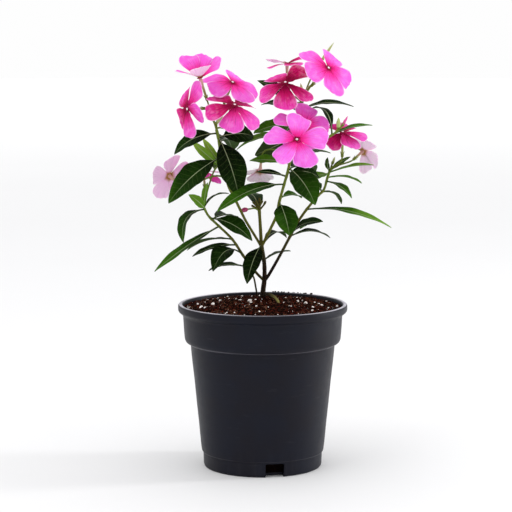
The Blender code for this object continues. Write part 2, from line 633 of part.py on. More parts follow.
def stem_piece(name, stem, path, start, end, steps):
    """The stretch of a stem between two distances along it."""
    whole = length_of(path)
    pieces = []
    radii = []
    for i in range(steps + 1):
        share = (start + (end - start) * i / steps) / whole
        pieces.append(point_at(path, share)[0])
        radii.append(stem.radius + (stem.tip_radius - stem.radius) * share)
    finish = "bark" if name == "trunk" else "leaf_green"
    return tube(name, pieces, radii, finish)


def make_stem(name, paths):
    """A stem with its leaves, flower stalks, buds, and the stubs that other stems grow from."""
    stem, path = STEMS[name], paths[name]
    whole = length_of(path)
    start = stem.split + GAP if stem.parent else 0
    pieces = [stem_piece(name, stem, path, start, whole, max(4, round(whole / STEM_SPACING)))]
    grown_on = {name}
    if name == "front_stem":
        pieces.append(stem_piece("twig", TWIG, paths["twig"], 0, length_of(paths["twig"]), 4))
        grown_on.add("twig")
    for other, branch in STEMS.items():
        if branch.parent == name and branch.split:
            pieces.append(stem_piece("stub", branch, paths[other], 0, branch.split, 2))
    for leaf in LEAVES:
        if leaf.stem in grown_on:
            foot = point_at(paths[leaf.stem], leaf.at)[0]
            pieces.append(blade("leaf", leaf_rows(leaf, foot), LEAF_THICKNESS, "leaf_green"))
    for bloom in BLOOMS:
        if bloom.stem in grown_on:
            pieces.append(flower_stalk(*point_at(paths[bloom.stem], bloom.at), bloom))
    for bud in BUDS:
        if bud.stem in grown_on:
            pieces.append(bud_solid(*point_at(paths[bud.stem], bud.at), bud))
    if name == "centre_stem":
        top = path[-1]
        for way in SPENT_STALKS:
            end = top + Vector(way)
            stalk = [top, top.lerp(end, 0.6), end]
            pieces.append(tube("spent", stalk, SPENT_RADII, "bark", SMALL_SIDES))
    if name == "trunk":
        root = curve_through(ROOT, 8)
        pieces.append(tube("root", root, tapered(*ROOT_RADII, len(root)), "bark"))
    return fuse(name, pieces) if len(pieces) > 1 else pieces[0]


def main():
    clear_scene()
    make_pot()
    make_soil()
    paths = stem_paths()
    for name in STEMS:
        make_stem(name, paths)
    for bloom in BLOOMS:
        bloom_solid(bloom)


main()
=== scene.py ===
"""A potted madagascar periwinkle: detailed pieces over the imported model, laid out as an add-on.

Places and sizes in the lists are millimetres, with X to the right, Y away from the front and Z up.
"""

import math
import random
from collections import namedtuple

import bpy
import numpy as np
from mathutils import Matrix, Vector, noise


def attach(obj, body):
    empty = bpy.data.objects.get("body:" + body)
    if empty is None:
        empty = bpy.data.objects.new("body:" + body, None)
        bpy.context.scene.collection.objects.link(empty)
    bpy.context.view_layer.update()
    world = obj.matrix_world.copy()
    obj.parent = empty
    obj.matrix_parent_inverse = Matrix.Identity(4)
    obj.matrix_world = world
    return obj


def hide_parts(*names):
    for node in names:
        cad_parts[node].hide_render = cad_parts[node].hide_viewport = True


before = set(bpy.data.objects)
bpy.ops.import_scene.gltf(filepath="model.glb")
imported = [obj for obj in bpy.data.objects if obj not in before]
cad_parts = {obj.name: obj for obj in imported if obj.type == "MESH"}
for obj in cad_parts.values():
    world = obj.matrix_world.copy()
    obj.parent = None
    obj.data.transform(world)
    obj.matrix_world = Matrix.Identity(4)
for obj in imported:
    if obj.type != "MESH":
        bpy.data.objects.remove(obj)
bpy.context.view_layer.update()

bl_info = {
    "name": "Potted Periwinkle",
    "version": (1, 0, 0),
    "blender": (4, 5, 0),
    "location": "View3D > Sidebar > Periwinkle",
    "description": "Dresses the packed model of a potted madagascar periwinkle",
    "category": "Add Mesh",
}

MM = 0.001
UP = Vector((0, 0, 1))
FRONT = Vector((0, -1, 0))
SHARP_FROM = math.radians(60)
CURVE_STEPS = 40

# A stem's radius at its foot and at its tip, how woody it is at both, and the points it passes through
Stem = namedtuple("Stem", "radius tip_radius woody points")
# What grows on a stem starts a share `at` of the way along it. A leaf's upper side looks towards `face`,
# `arch` is how far it bows that way, and its stalk is a share of its length
Leaf = namedtuple("Leaf", "stem at tip width face arch tones stalk", defaults=((0.25, 0.35), 0.12))
# A bloom's first petal lies `roll` degrees round from the back. Each of its petals is raised, turned aside
# and twisted by its own number of degrees, and made deeper in colour by its own number as painted shade,
# or paler where that number is below 0, as painted light
Bloom = namedtuple("Bloom", "name stem at centre facing roll reach tube claw depth lifts turns twists deeper",
                   defaults=((-6,), (0,), (7,), (0,)))
Bud = namedtuple("Bud", "stem at tip girth length pink")

STEMS = {
    "trunk": Stem(2.4, 1.6, (1.0, 0.9), [
        (0, 20, 114), (0, 20, 128), (0.7, 19, 136), (1.5, 18, 143), (1.5, 17, 150), (1.3, 16, 155)]),
    "centre_stem": Stem(1.55, 1.2, (0.75, 0.3), [
        (1.3, 16, 155), (0.3, 15, 163), (-1, 14, 170), (-1.7, 16, 182), (-2.6, 20, 196)]),
    "right_stem": Stem(1.25, 0.9, (0.9, 0.1), [
        (1.5, 18, 141), (5, 18, 146), (13, 19, 160), (21, 20, 175), (26, 18, 185), (34, 16, 197),
        (43.5, 18, 208), (47.5, 20, 212), (50, 20, 221), (52, 20, 227)]),
    "front_stem": Stem(1.15, 0.95, (0.4, 0.02), [
        (-1, 14, 168), (1, 13, 172), (5.5, 6, 182), (10.5, -2, 194), (12.5, -8, 205),
        (17, -14, 222), (19.5, -14, 231), (22, -5, 244), (26, 6, 260), (30, 12, 278)]),
    "left_stem": Stem(1.0, 1.15, (0.5, 0.05), [
        (-0.6, 14.5, 167), (-3.5, 14, 172.5), (-9, 10, 182), (-14, 6, 191), (-22, 2, 208),
        (-26, 0, 216), (-29.5, -4, 229), (-32, -7, 240), (-33, -9, 251), (-35, -10, 260)]),
    "low_left_stem": Stem(1.1, 0.9, (0.7, 0.1), [
        (1.5, 18, 140), (-0.5, 17, 143), (-5, 14, 148), (-14.5, 10, 161), (-23.5, 6, 175),
        (-36, 0, 188), (-41.5, -3, 194), (-45, -6, 201)]),
    "shoot": Stem(0.8, 0.65, (0.9, 0.5), [
        (-4.5, 27, 114), (-4.5, 26, 128), (-5.5, 25, 136), (-7, 24, 143), (-10.6, 24, 149),
        (-15.3, 24, 152)]),
}
TWIG_FOOT = 0.74
TWIG = Stem(0.9, 0.8, (0.1, 0.05), [(31, -6, 248), (42, -14, 250), (53, -16, 257)])
ROOT = [
    (1, 19, 130), (4.5, 12, 131.5), (8.5, 3, 130.8), (11.2, -5, 129.2), (12.2, -8.4, 126.5),
    (12.3, -9, 121),
]
ROOT_RADII = (1.5, 0.8)
ROOT_TONES = (0.6, 0.0)

# A leaf's tones run from 0, nearly black green, through dark and fresh green to 1, yellow green, at
# its foot and at its tip
LEAVES = [
    Leaf("left_stem", 0.79, (-71, -20, 205), 20, (-1, -3, 2), 6, (0.1, 0.36)),
    Leaf("left_stem", 0.94, (-18, -23, 210), 22, (1, -3, 1), 5, (0.05, 0.22)),
    Leaf("left_stem", 0.97, (-67, -6, 241), 14, (-1, -3, 3), 6, (0.12, 0.26)),
    Leaf("left_stem", 0.94, (-7, 2, 254), 17, (1, -3, 2), 5, (0.1, 0.2)),
    Leaf("left_stem", 0.80, (-38, 46, 226), 18, (0, 1, 3), 6),
    Leaf("left_stem", 0.90, (-24, 44, 240), 17, (1, 1, 3), 6),
    Leaf("left_stem", 0.70, (-54, 8, 250), 7, (-2, -3, 1), 2, (0.66, 0.9)),
    Leaf("left_stem", 0.70, (-46, 14, 252), 6, (-1, -3, 1), 1, (0.72, 0.95)),
    Leaf("left_stem", 0.46, (-20, 44, 208), 15, (1, 1, 3), 6),
    Leaf("low_left_stem", 0.97, (-60, -18, 175), 15, (-3, -2, 2), 9, (0.18, 0.38)),
    Leaf("low_left_stem", 0.97, (-56, -14, 211), 8, (0, -3, 2), 2, (0.6, 0.72)),
    Leaf("low_left_stem", 0.98, (-42, 0, 219), 7, (-2, -2, 1), 1, (0.6, 0.75)),
    Leaf("low_left_stem", 0.99, (-26, 8, 210), 6, (0, 1, 4), 4, (0.15, 0.2)),
    Leaf("low_left_stem", 0.86, (-8, -6, 175), 16, (1, -3, 4), 5, (0.14, 0.32)),
    Leaf("low_left_stem", 0.74, (-82, -18, 153), 10, (-1, -2, 4), 2, (0.2, 0.52)),
    Leaf("low_left_stem", 0.55, (-59, 26, 164), 9, (-1, 1, 5), 4, (0.15, 0.25)),
    Leaf("low_left_stem", 0.48, (-54, 2, 162), 9, (-1, -2, 5), 3, (0.15, 0.25)),
    Leaf("low_left_stem", 0.36, (-38, -10, 152), 18, (-1, -2, 3), 11, (0.1, 0.2), 0.3),
    Leaf("low_left_stem", 0.84, (-20, 38, 184), 15, (1, 1, 3), 5),
    Leaf("centre_stem", 0.35, (-12, -13, 143), 14, (-1, -3, 1), 4, (0.06, 0.18)),
    Leaf("centre_stem", 0.06, (22, 38, 162), 8, (0, 1, 3), 2, (0.1, 0.2)),
    Leaf("centre_stem", 0.30, (19, 44, 172), 9, (0, 0, 1), 8, (0.1, 0.2)),
    Leaf("centre_stem", 0.96, (-14, 56, 205), 14, (0, 1, 3), 6),
    Leaf("right_stem", 0.41, (46, 2, 189), 12, (0, -2, 3), 4, (0.12, 0.25)),
    Leaf("right_stem", 0.39, (53, 34, 173), 9, (1, 0, 4), 5, (0.08, 0.15)),
    Leaf("right_stem", 0.64, (98, -4, 185), 9, (1, -2, 5), 6, (0.2, 0.8)),
    Leaf("right_stem", 0.97, (34, 4, 221), 10, (0, -2, 3), 1, (0.6, 0.7)),
    Leaf("right_stem", 0.98, (85, 8, 232), 8, (0, -1, 5), 2, (0.55, 0.75)),
    Leaf("right_stem", 0.94, (78, 44, 215), 8, (1, 1, 4), 3, (0.5, 0.6)),
    Leaf("right_stem", 0.91, (68, 2, 207), 9, (1, -1, 3), 3, (0.3, 0.55)),
    Leaf("right_stem", 0.82, (62, 40, 199), 8, (1, 0, 4), 4, (0.2, 0.3)),
    Leaf("right_stem", 0.82, (37, 40, 214), 9, (-1, 1, 4), 3, (0.35, 0.45)),
    Leaf("right_stem", 0.45, (30, 52, 178), 14, (1, 1, 3), 5),
    Leaf("right_stem", 0.99, (50, 18, 237), 5, (-2, -2, 1), 1, (0.35, 0.4)),
    Leaf("right_stem", 0.99, (68, 26, 237), 5, (-1, -2, 2), 1, (0.4, 0.45)),
    Leaf("front_stem", 0.47, (-34, -44, 201), 15, (-1, -2, 3), 6, (0.22, 0.46)),
    Leaf("front_stem", 0.35, (20, -24, 181), 19, (1, -3, 1), 3, (0.2, 0.42)),
    Leaf("front_stem", 0.57, (39, -34, 205), 21, (1, -3, 2), 5, (0.16, 0.4)),
    Leaf("front_stem", 0.38, (30, 14, 206), 9, (1, -1, 4), 3, (0.45, 0.5)),
    Leaf("front_stem", 0.60, (-10, -4, 236), 11, (-1, -2, 4), 2, (0.5, 0.6)),
    Leaf("front_stem", 0.86, (-7, -8, 257), 15, (-1, -3, 4), 4, (0.42, 0.46)),
    # This leaf's near-black tones are painted shade: it hangs in deep shade behind the front blooms
    Leaf("front_stem", 0.80, (-6, 14, 239), 19, (-1, 2, -1), 3, (0.0, 0.04)),
    Leaf("front_stem", 0.62, (52, 10, 241), 10, (0, -1, 4), 4, (0.3, 0.35)),
    Leaf("front_stem", 0.97, (-4, 18, 296), 11, (-1, -2, 3), 4, (0.2, 0.28)),
    Leaf("front_stem", 0.95, (-1, 30, 277), 11, (-1, -1, 4), 4, (0.18, 0.28)),
    Leaf("front_stem", 0.97, (70, 22, 276), 9, (0, -0.3, 1), 4, (0.12, 0.22)),
    Leaf("front_stem", 0.56, (40, 40, 222), 17, (1, 1, 3), 6),
    Leaf("front_stem", 0.84, (16, 50, 250), 16, (0, 1, 3), 6),
    Leaf("front_stem", 0.78, (-20, 2, 244), 12, (-1, -1, 4), 6, (0.45, 0.62)),
    Leaf("front_stem", 0.54, (43, -6, 223), 13, (1, -2, 3), 4, (0.12, 0.22)),
    Leaf("front_stem", 0.52, (-5, 2, 227), 5, (0, -1, 1), 2, (0.1, 0.2)),
    Leaf("shoot", 0.98, (-42, 18, 149), 8, (0, -1, 4), 3, (0.12, 0.18)),
    Leaf("twig", 0.96, (37, 8, 275), 8, (1, -1, 3), 9, (0.12, 0.2)),
    Leaf("twig", 0.98, (83, -4, 263), 8, (0, -1, 5), 2, (0.4, 0.55)),
]

# Depth runs from 0, orchid pink, to 1, deep magenta
# A bloom's fourth row of petal numbers, where it has one, paints shade on its shaded petals and light on its
# lit ones
BLOOMS = [
    Bloom("bloom_left_top", "left_stem", 1.0, (-47, -16, 299), (-0.3, -0.3, 1), -27, 20.5, 16, 1.2, 0.38,
          (43, 60, 42, 44, 30), (0, -18, -12, 4, 12), (8, 0, 7, -5, 14)),
    Bloom("bloom_left_upper", "left_stem", 1.0, (-23, -3, 295), (0.4, -0.65, 1), 3, 23, 18, 1.1, 0.42,
          (-10, -16, 0, 5, -8), (-4, 0, 0, 3, -3), (6, -4, 4, 0, 2)),
    Bloom("bloom_left_front", "left_stem", 1.0, (-21, -29, 279), (0.16, -0.54, 1), 40, 24, 16, 1.6, 0.88,
          (-5, -6, -19, -26, -15), (8, 10, -4, -4, 4), (4, -4, 8, 0, 0), (0.12, 0.1, -0.25, -0.25, 0.1)),
    Bloom("bloom_left_low", "left_stem", 1.0, (-56, -22, 276), (-1, -0.8, 0), 28, 22, 14, 1.6, 0.66,
          (-9, 10, 14, -2, -18), (3, 6, 0, -8, 8), (-6, 2, 30, -10, 8), (0.35, 0, -0.1, -0.05, 0.25)),
    Bloom("bloom_right_top", "front_stem", 1.0, (49, -12, 306), (0.9, -0.95, 1), 11, 23.5, 20, 1.2, 0.44,
          (-3, -8, 2, 3, -3), (-3, 6, 1, -4, -1), (-3, 2, 0, 0, 10)),
    Bloom("bloom_right_back", "front_stem", 1.0, (19, 26, 309), (0.05, 0, 1), 55, 18.5, 15, 1.4, 0.75,
          (9, -7, 3, 26, 4), (-10, 0, 0, 6, 0)),
    Bloom("bloom_right_inner", "front_stem", 1.0, (17, -8, 295), (-0.1, -0.65, 1), 28, 23, 16, 1.5, 1.0,
          (-11, -15, -20, -25, 6), (-4, 5, 2, -3, 0), (-4, -4, -2, -12, 10), (-0.1, -0.12, -0.1, 0.05, 0.3)),
    Bloom("bloom_front", "front_stem", 0.71, (25, -42, 254), (0, -1, 0.95), -3, 23.5, 18, 1.05, 0.05,
          (9, 7, -1, -8, 1), (-2, 9, 2, -12, -7), (6, 4, 12, -3, 9)),
    Bloom("bloom_front_behind", "front_stem", 0.84, (30, -12, 263), (0, -0.93, 1), -2, 22, 12, 1.2, 0.42,
          (7, 20, -6, -6, -9), (-8, 12, 0, 0, 2), (10, 10, 7, 7, 9)),
    Bloom("bloom_far_right", "right_stem", 1.0, (61, 4, 257), (0, -0.4, 1), 56, 19, 18, 1.4, 0.66,
          (5, -13, -10, -7, 0), (-16, 18, 3, -8, 0), (7, -10, -8, 0, 7), (0.1, 0.4, 0, -0.12, 0.1)),
    Bloom("bloom_right_pale", "right_stem", 1.0, (78, 31, 241), (0.75, 1, 0.55), 11, 17, 12, 1.1, 0.26,
          (50, -25, -10, -9, -7), (-10, 15, 10, 10, -4), (7, 7, 18, 2, 8)),
    Bloom("bloom_left_pale", "left_stem", 0.62, (-72.6, 28, 222), (-0.55, 0.75, 0.35), 20, 19, 14, 1.2, 0.56),
    Bloom("bloom_middle_left", "left_stem", 0.72, (-46, 24, 226), (-0.1, 0.1, 1), 30, 16, 12, 1.2, 0.55,
          (0, 0, -20, -35, 0)),
    Bloom("bloom_middle", "front_stem", 0.64, (-2, 20, 227), (-0.1, 0.45, -0.85), 0, 12, 10, 1.0, 0.0, (35,)),
]

# Pink runs from 0, a green bud, to 1, a magenta one
BUDS = [
    Bud("left_stem", 1.0, (-30, -14, 270), 1.1, 8, 0.1),
    Bud("left_stem", 1.0, (-41, -2, 271), 1.0, 7, 0.1),
    Bud("front_stem", 1.0, (54, 10, 325), 1.1, 17, 0.12),
    Bud("front_stem", 1.0, (29, 14, 294), 1.2, 8, 0.2),
    Bud("front_stem", 1.0, (36, 2, 293), 1.2, 8, 0.1),
    Bud("twig", 1.0, (57, -13, 269), 1.6, 8, 0.1),
    Bud("twig", 1.0, (64, -10, 270), 1.0, 9, 0.8),
    Bud("right_stem", 1.0, (56, 24, 237), 0.9, 6, 0.1),
    Bud("centre_stem", 0.92, (-17, 9, 196.5), 1.8, 6.5, 1.0),
]
# The old flower stalks: the way each one points and how long it is, and their radii from foot to tip
SPENT_STALKS = [(-6, -2, 8), (-3, -4, 9), (0, 3, 11), (3, -2, 9), (6, 2, 8), (-7, 3, 4)]
SPENT_RADII = [0.85, 0.8, 0.74, 0.7, 0.7, 0.76, 0.88, 0.95, 0.7]
# How woody the green parts are, from 0, young green, to 1, bark
SPENT_TONE = 0.46
CALYX_TONE = 0.2
BUD_STALK_TONE = 0.15
FLOWER_STALK_TONE = 0.12
SEPAL_TONE = 0.1

# How many points go round each kind of tube, and how many steps it has from end to end
FIBRE_SIDES, FIBRE_STEPS = 5, 5
STEM_SIDES = 14
STALK_SIDES, STALK_STEPS = 8, 16
SEPAL_SIDES = 6
CALYX_SIDES = 10
BUD_SIDES, BUD_STEPS = 15, 14
TUBE_SIDES = 20
ROOT_SIDES, ROOT_STEPS = 12, 24
# Where each kind's random numbers start. A bloom's own number is added to its kind's
MIX_SEED, SPENT_SEED, BLOOM_SEED = 11, 5, 100

LEAF_ROWS = 44
LEAF_COLUMNS = (-1, -0.95, -0.86, -0.7, -0.5, -0.3, -0.14, -0.05, 0.05, 0.14, 0.3, 0.5, 0.7, 0.86, 0.95, 1)
# A leaf's side veins: their spacing along it, how steeply they rise, how they bend and how deep they lie
VEIN_SPACING = 4.2
VEIN_RISE = 0.16
VEIN_BEND = 0.004
VEIN_DEPTH = 0.16
# Half the width of a leaf's or a bud's stalk, and the share of a leaf over which its blade opens
STALK_HALF = 0.62
BLADE_OPENING = 0.12
# A flower stalk's radius at its foot and at its bloom
FLOWER_STALK_RADII = (0.72, 0.6)
# How far a stem's swelling reaches from a leaf's foot
SWELL_REACH = 1.6
PETAL_ROWS = 26
PETAL_COLUMNS = 15
PETAL_COUNT = 5
# Half the width of a petal's claw, its blade's half width as a share of its reach, and its droop in degrees
CLAW_HALF = 0.9
PETAL_SHARE = 0.355
PETAL_DROOP = 7
# Where a petal's rounded tip begins, as a share of its reach, and the turn of its edge over the tip
TIP_START = 0.76
TIP_TURN = math.radians(62)
MOUTH_RISE = 0.6
# How far out from the eye the petals of a bloom lie edge to edge, and how wide they are there for their reach
CLOSED_REACH = 4.8
CLOSED_SHARE = 0.76
CALYX_DEPTH = 2.5
SEAT_GAP = 0.3


def colour(red, green, blue):
    """A screen colour, 0 to 255 a channel, as Blender's linear values."""
    shares = [value / 255 for value in (red, green, blue)]
    return tuple(s / 12.92 if s <= 0.04045 else ((s + 0.055) / 1.055) ** 2.4 for s in shares)


def dimmed(shade, share):
    """A colour with each of its channels brought to a share of what it was."""
    return tuple(channel * share for channel in shade)


def colour_property(name, description, value):
    return bpy.props.FloatVectorProperty(
        name=name, description=description, subtype="COLOR", size=3, min=0, max=1, default=value)


def length_property(name, description, millimetres):
    return bpy.props.FloatProperty(
        name=name, description=description, unit="LENGTH", precision=5, default=millimetres * MM)


def share_property(name, description, value, top=1.0):
    return bpy.props.FloatProperty(
        name=name, description=description, subtype="FACTOR", min=0, max=top, default=value)


def measure_property(name, description, value, unit):
    return bpy.props.FloatProperty(name=name, description=description, unit=unit, default=value)


def count_property(name, description, value):
    return bpy.props.IntProperty(
        name=name, description=description, subtype="UNSIGNED", min=0, default=value)


class PotSettings(bpy.types.PropertyGroup):
    """The nursery pot."""

    plastic: colour_property("Plastic", "Colour of the pot's plastic", (0.0056, 0.0054, 0.0106))
    roughness: share_property("Roughness", "How matte the plastic is", 0.44)
    dust: share_property("Dust", "How much pale dust lies on the plastic", 0.25)
    # Colour of the painted highlights along the pot's edges, lightest towards its sides
    painted_highlight: colour_property("Worn", "Colour of the plastic where its edges are rubbed", colour(198, 195, 206))


class MixSettings(bpy.types.PropertyGroup):
    """The potting mix."""

    crumbs: count_property("Crumbs", "Loose crumbs on the mix", 1500)
    perlite: count_property("Perlite", "White grains in the mix", 220)
    fibres: count_property("Fibres", "Loose fibres on the mix", 200)
    dark: colour_property("Dark", "Colour of the mix in its hollows", colour(16, 7, 5))
    red: colour_property("Red", "Colour of the mix on its crumbs", colour(104, 36, 22))
    white: colour_property("White", "Colour of the perlite", colour(255, 248, 244))


class StemSettings(bpy.types.PropertyGroup):
    """The stems, stalks and buds."""

    bark: colour_property("Bark", "Colour of the woody base", colour(31, 20, 13))
    green: colour_property("Green", "Colour of the young stems", colour(116, 140, 52))
    olive: colour_property("Olive", "Colour of a stem that turns woody", colour(98, 96, 36))
    swelling: share_property("Swelling", "How much a stem swells where leaves grow", 0.16)


class LeafSettings(bpy.types.PropertyGroup):
    """The leaves."""

    thickness: length_property("Thickness", "Thickness of a leaf's blade", 0.42)
    fold: share_property("Fold", "How far a leaf's halves rise from its midrib", 0.3)
    wave: share_property("Wave", "How much a leaf's edges wave", 0.09)
    vein: colour_property("Vein", "Colour of the midrib", colour(168, 184, 140))
    roughness: share_property("Roughness", "How matte a leaf's upper face is", 0.36)


class PetalSettings(bpy.types.PropertyGroup):
    """The blooms."""

    thickness: length_property("Thickness", "Thickness of a petal", 0.34)
    ruffle: length_property("Ruffle", "How far a petal's edge waves", 0.5)
    orchid: colour_property("Orchid", "Outer colour of a light petal", colour(246, 118, 232))
    magenta: colour_property("Magenta", "Outer colour of a deep petal", colour(232, 58, 164))
    hot: colour_property("Hot pink", "Colour of a light petal's middle", colour(248, 58, 164))
    ruby: colour_property("Ruby", "Colour of a deep petal's middle", colour(188, 14, 92))
    rose: colour_property("Rose", "Colour of a light petal near the eye", colour(214, 18, 106))
    crimson: colour_property("Crimson", "Colour of a deep petal near the eye", colour(116, 2, 42))
    back: colour_property("Back", "Colour of a petal's underside", colour(255, 238, 252))
    eye: colour_property("Eye", "Colour of the bloom's eye", colour(255, 236, 246))


class StageSettings(bpy.types.PropertyGroup):
    """The camera, the floor and the lights."""

    distance: length_property("Distance", "How far in front of the pot the camera stands", 1400)
    height: length_property("Height", "How high the camera stands", 333.3)
    aside: length_property("Aside", "How far to the left of the pot the camera stands", 5.15)
    pitch: measure_property("Pitch", "How far down the camera looks", math.radians(6.95), "ROTATION")
    view: measure_property("View", "The camera's angle of view", 2 * math.atan(256 / 1841), "ROTATION")
    floor: colour_property("Floor", "Colour of the floor", (0.83, 0.83, 0.84))
    key: measure_property("Key", "Strength of the key light", 9, "POWER")
    fill: measure_property("Fill", "Strength of the side lights", 4, "POWER")
    wall: share_property("Wall", "Brightness of the surroundings near the horizon", 0.99, 4.0)
    side: share_property("Side", "Strength of the light from all round", 0.6, 4.0)
    top: share_property("Top", "Strength of the light from above", 1.3, 4.0)


def settings(group):
    return getattr(bpy.context.scene, "periwinkle_" + group)


def put(name, data):
    """A new object, linked into the scene."""
    made = bpy.data.objects.new(name, data)
    bpy.context.scene.collection.objects.link(made)
    return made


def turns_round(sides):
    """The angles of the points round a circle, in even steps from 0."""
    return [2 * math.pi * k / sides for k in range(sides)]


def level_ring(radius, height, sides):
    """Points on a level circle round the pot's axis."""
    return [(radius * math.cos(turn), radius * math.sin(turn), height) for turn in turns_round(sides)]


def spoke(side, other, turn):
    """The direction that lies turn away from side, towards other."""
    return side * math.cos(turn) + other * math.sin(turn)


def between(ends, share):
    """The number a share of the way from the first end to the second."""
    return ends[0] + (ends[1] - ends[0]) * share


def bent(start, bend, end, share):
    """The place a share of the way along a curve from start to end that is drawn towards bend."""
    return start * (1 - share) ** 2 + bend * 2 * share * (1 - share) + end * share * share


class Skin:
    """Gathers rings of points, and the numbers that the materials read, into one mesh.

    Each point has a place, which is (along, across) in millimetres and 1 more on an underside, and a
    look, which is its tone, its piece's own random number and how near the edge it is, or in the potting
    mix how deep it lies between the crumbs, for painted shade there. One place or look may also stand for
    all the points.
    """

    def __init__(self):
        self.points = []
        self.places = []
        self.looks = []
        self.faces = []
        self.finishes = []
        self.count = 0

    def add(self, points, faces, places, looks, finish=0):
        points = np.reshape(points, (-1, 3))
        self.points.append(points)
        for kept, values in ((self.places, places), (self.looks, looks)):
            kept.append(np.broadcast_to(np.reshape(values, (-1, 3)), points.shape))
        self.faces += [tuple(i + self.count for i in face) for face in faces]
        self.finishes += [finish] * len(faces)
        self.count += len(points)

    def rings(self, points, places, looks, finish=0, flat_ends=False):
        """A closed skin over rows of rings. Flat ends are strips across a blade."""
        points = np.asarray(points, float)
        rows, around = points.shape[:2]
        index = np.arange(rows * around).reshape(rows, around)
        here, there = index[:-1], index[1:]
        quads = np.stack([here, np.roll(here, -1, 1), np.roll(there, -1, 1), there], -1)
        faces = quads.reshape(-1, 4).tolist()
        last = (rows - 1) * around
        if flat_ends:
            for j in range(around // 2 - 1):
                far = around - 1 - j
                faces.append((j, far, far - 1, j + 1))
                faces.append((last + j, last + j + 1, last + far - 1, last + far))
        else:
            faces += [range(around)[::-1], range(last, last + around)]
        self.add(points, faces, places, looks, finish)

    def piece(self, name, finishes, slot, *nodes):
        """The mesh object, riding on the frame and standing for the nodes."""
        mesh = bpy.data.meshes.new(name)
        mesh.from_pydata((np.concatenate(self.points) * MM).tolist(), [], self.faces)
        for mark, values in (("place", self.places), ("look", self.looks)):
            attribute = mesh.attributes.new(mark, "FLOAT_VECTOR", "POINT")
            attribute.data.foreach_set("vector", np.concatenate(values).astype(np.float32).ravel())
        for finish in finishes:
            mesh.materials.append(finish)
        mesh.polygons.foreach_set("material_index", self.finishes)
        mesh.shade_smooth()
        mesh.set_sharp_from_angle(angle=SHARP_FROM)
        mesh.update()
        obj = put(name, mesh)
        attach(obj, "root")
        if nodes:
            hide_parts(*nodes)
        return obj


class Output:
    """What a node gives out. Each sum, product and so on of it is one more Math node."""

    def __init__(self, paint, socket):
        self.paint = paint
        self.socket = socket

    def __add__(self, other):
        return self.paint.math("ADD", self, other)

    def __sub__(self, other):
        return self.paint.math("SUBTRACT", self, other)

    def __rsub__(self, other):
        return self.paint.math("SUBTRACT", other, self)

    def __mul__(self, other):
        return self.paint.math("MULTIPLY", self, other)

    def __truediv__(self, other):
        return self.paint.math("DIVIDE", self, other)

    def __abs__(self):
        return self.paint.math("ABSOLUTE", self)


class Paint:
    """A procedural material, built up node by node."""

    def __init__(self, name, roughness=0.5, specular=0.5, **finish):
        self.material = bpy.data.materials.new(name)
        self.material.use_nodes = True
        self.tree = self.material.node_tree
        self.shader = self.tree.nodes["Principled BSDF"]
        self.shader.inputs["Roughness"].default_value = roughness
        self.shader.inputs["Specular IOR Level"].default_value = specular
        for socket, value in finish.items():
            self.shader.inputs[socket.replace("_", " ")].default_value = value

    def node(self, kind, values=None, output=0, **options):
        """A new node's output, after its options are set and its inputs are set or linked."""
        made = self.tree.nodes.new("ShaderNode" + kind)
        made.location = (-220 * (len(self.tree.nodes) % 9) - 200, -160 * (len(self.tree.nodes) // 9))
        for option, value in options.items():
            setattr(made, option, value)
        for socket, value in (values or {}).items():
            if isinstance(value, Output):
                self.tree.links.new(value.socket, made.inputs[socket])
            else:
                made.inputs[socket].default_value = value
        return Output(self, made.outputs[output])

    def parts(self, vector):
        """The three numbers of a vector."""
        split = self.node("SeparateXYZ", {0: vector}).socket.node
        return [Output(self, socket) for socket in split.outputs]

    def marks(self, name):
        """The three numbers that each point of the mesh carries under a name."""
        return self.parts(self.node("Attribute", output="Vector", attribute_name=name))

    def tube_marks(self):
        """The place along and round a tube, and its tone."""
        return *self.marks("place")[:2], self.marks("look")[0]

    def here(self):
        return self.node("TexCoord", output="Object")

    def stretched(self, scale):
        """The place on the object, with its own scale along each axis."""
        return self.node("Mapping", {0: self.here(), 3: scale})

    def vector(self, x, y, z):
        return self.node("CombineXYZ", {0: x, 1: y, 2: z})

    def math(self, operation, a, b=0.0):
        return self.node("Math", {0: a, 1: b}, operation=operation)

    def ramp(self, value, low, high, start=0.0, end=1.0):
        """A smooth step from start to end as value goes from low to high."""
        values = {"Value": value, "From Min": low, "From Max": high, "To Min": start, "To Max": end}
        return self.node("MapRange", values, interpolation_type="SMOOTHSTEP")

    def blend(self, share, a, b):
        """From colour a, where share is 0, to colour b."""
        a, b = (shade if isinstance(shade, Output) else (*shade, 1) for shade in (a, b))
        return self.node("Mix", {0: share, 6: a, 7: b}, 2, data_type="RGBA")

    def over(self, base, top, value, low, high, most=1.0):
        """Colour top laid over base as value goes from low to high, at most so much of it."""
        return self.blend(self.ramp(value, low, high, 0.0, most), base, top)

    def shades(self, value, stops):
        """A row of colours, each at its own value."""
        made = self.node("ValToRGB", {0: value})
        elements = made.socket.node.color_ramp.elements
        while len(elements) < len(stops):
            elements.new(0.5)
        for element, (place, shade) in zip(elements, stops):
            element.position = place
            element.color = (*shade, 1)
        return made

    def spots(self, scale, detail, where=None):
        """Noise over the object, or over another place given."""
        values = {"Vector": where or self.here(), "Scale": scale, "Detail": detail, "Roughness": 0.55}
        return self.node("TexNoise", values)

    def cells(self, scale):
        return self.node("TexVoronoi", {"Vector": self.here(), "Scale": scale}, "Distance")

    def relief(self, height, distance, strength, below=None):
        values = {"Height": height, "Distance": distance, "Strength": strength}
        if below:
            values["Normal"] = below
        return self.node("Bump", values)

    def set(self, socket, value):
        self.tree.links.new(value.socket, self.shader.inputs[socket])

    def done(self, shade, surface):
        """The material, with its colour and its relief linked."""
        self.set("Base Color", shade)
        self.set("Normal", surface)
        return self.material


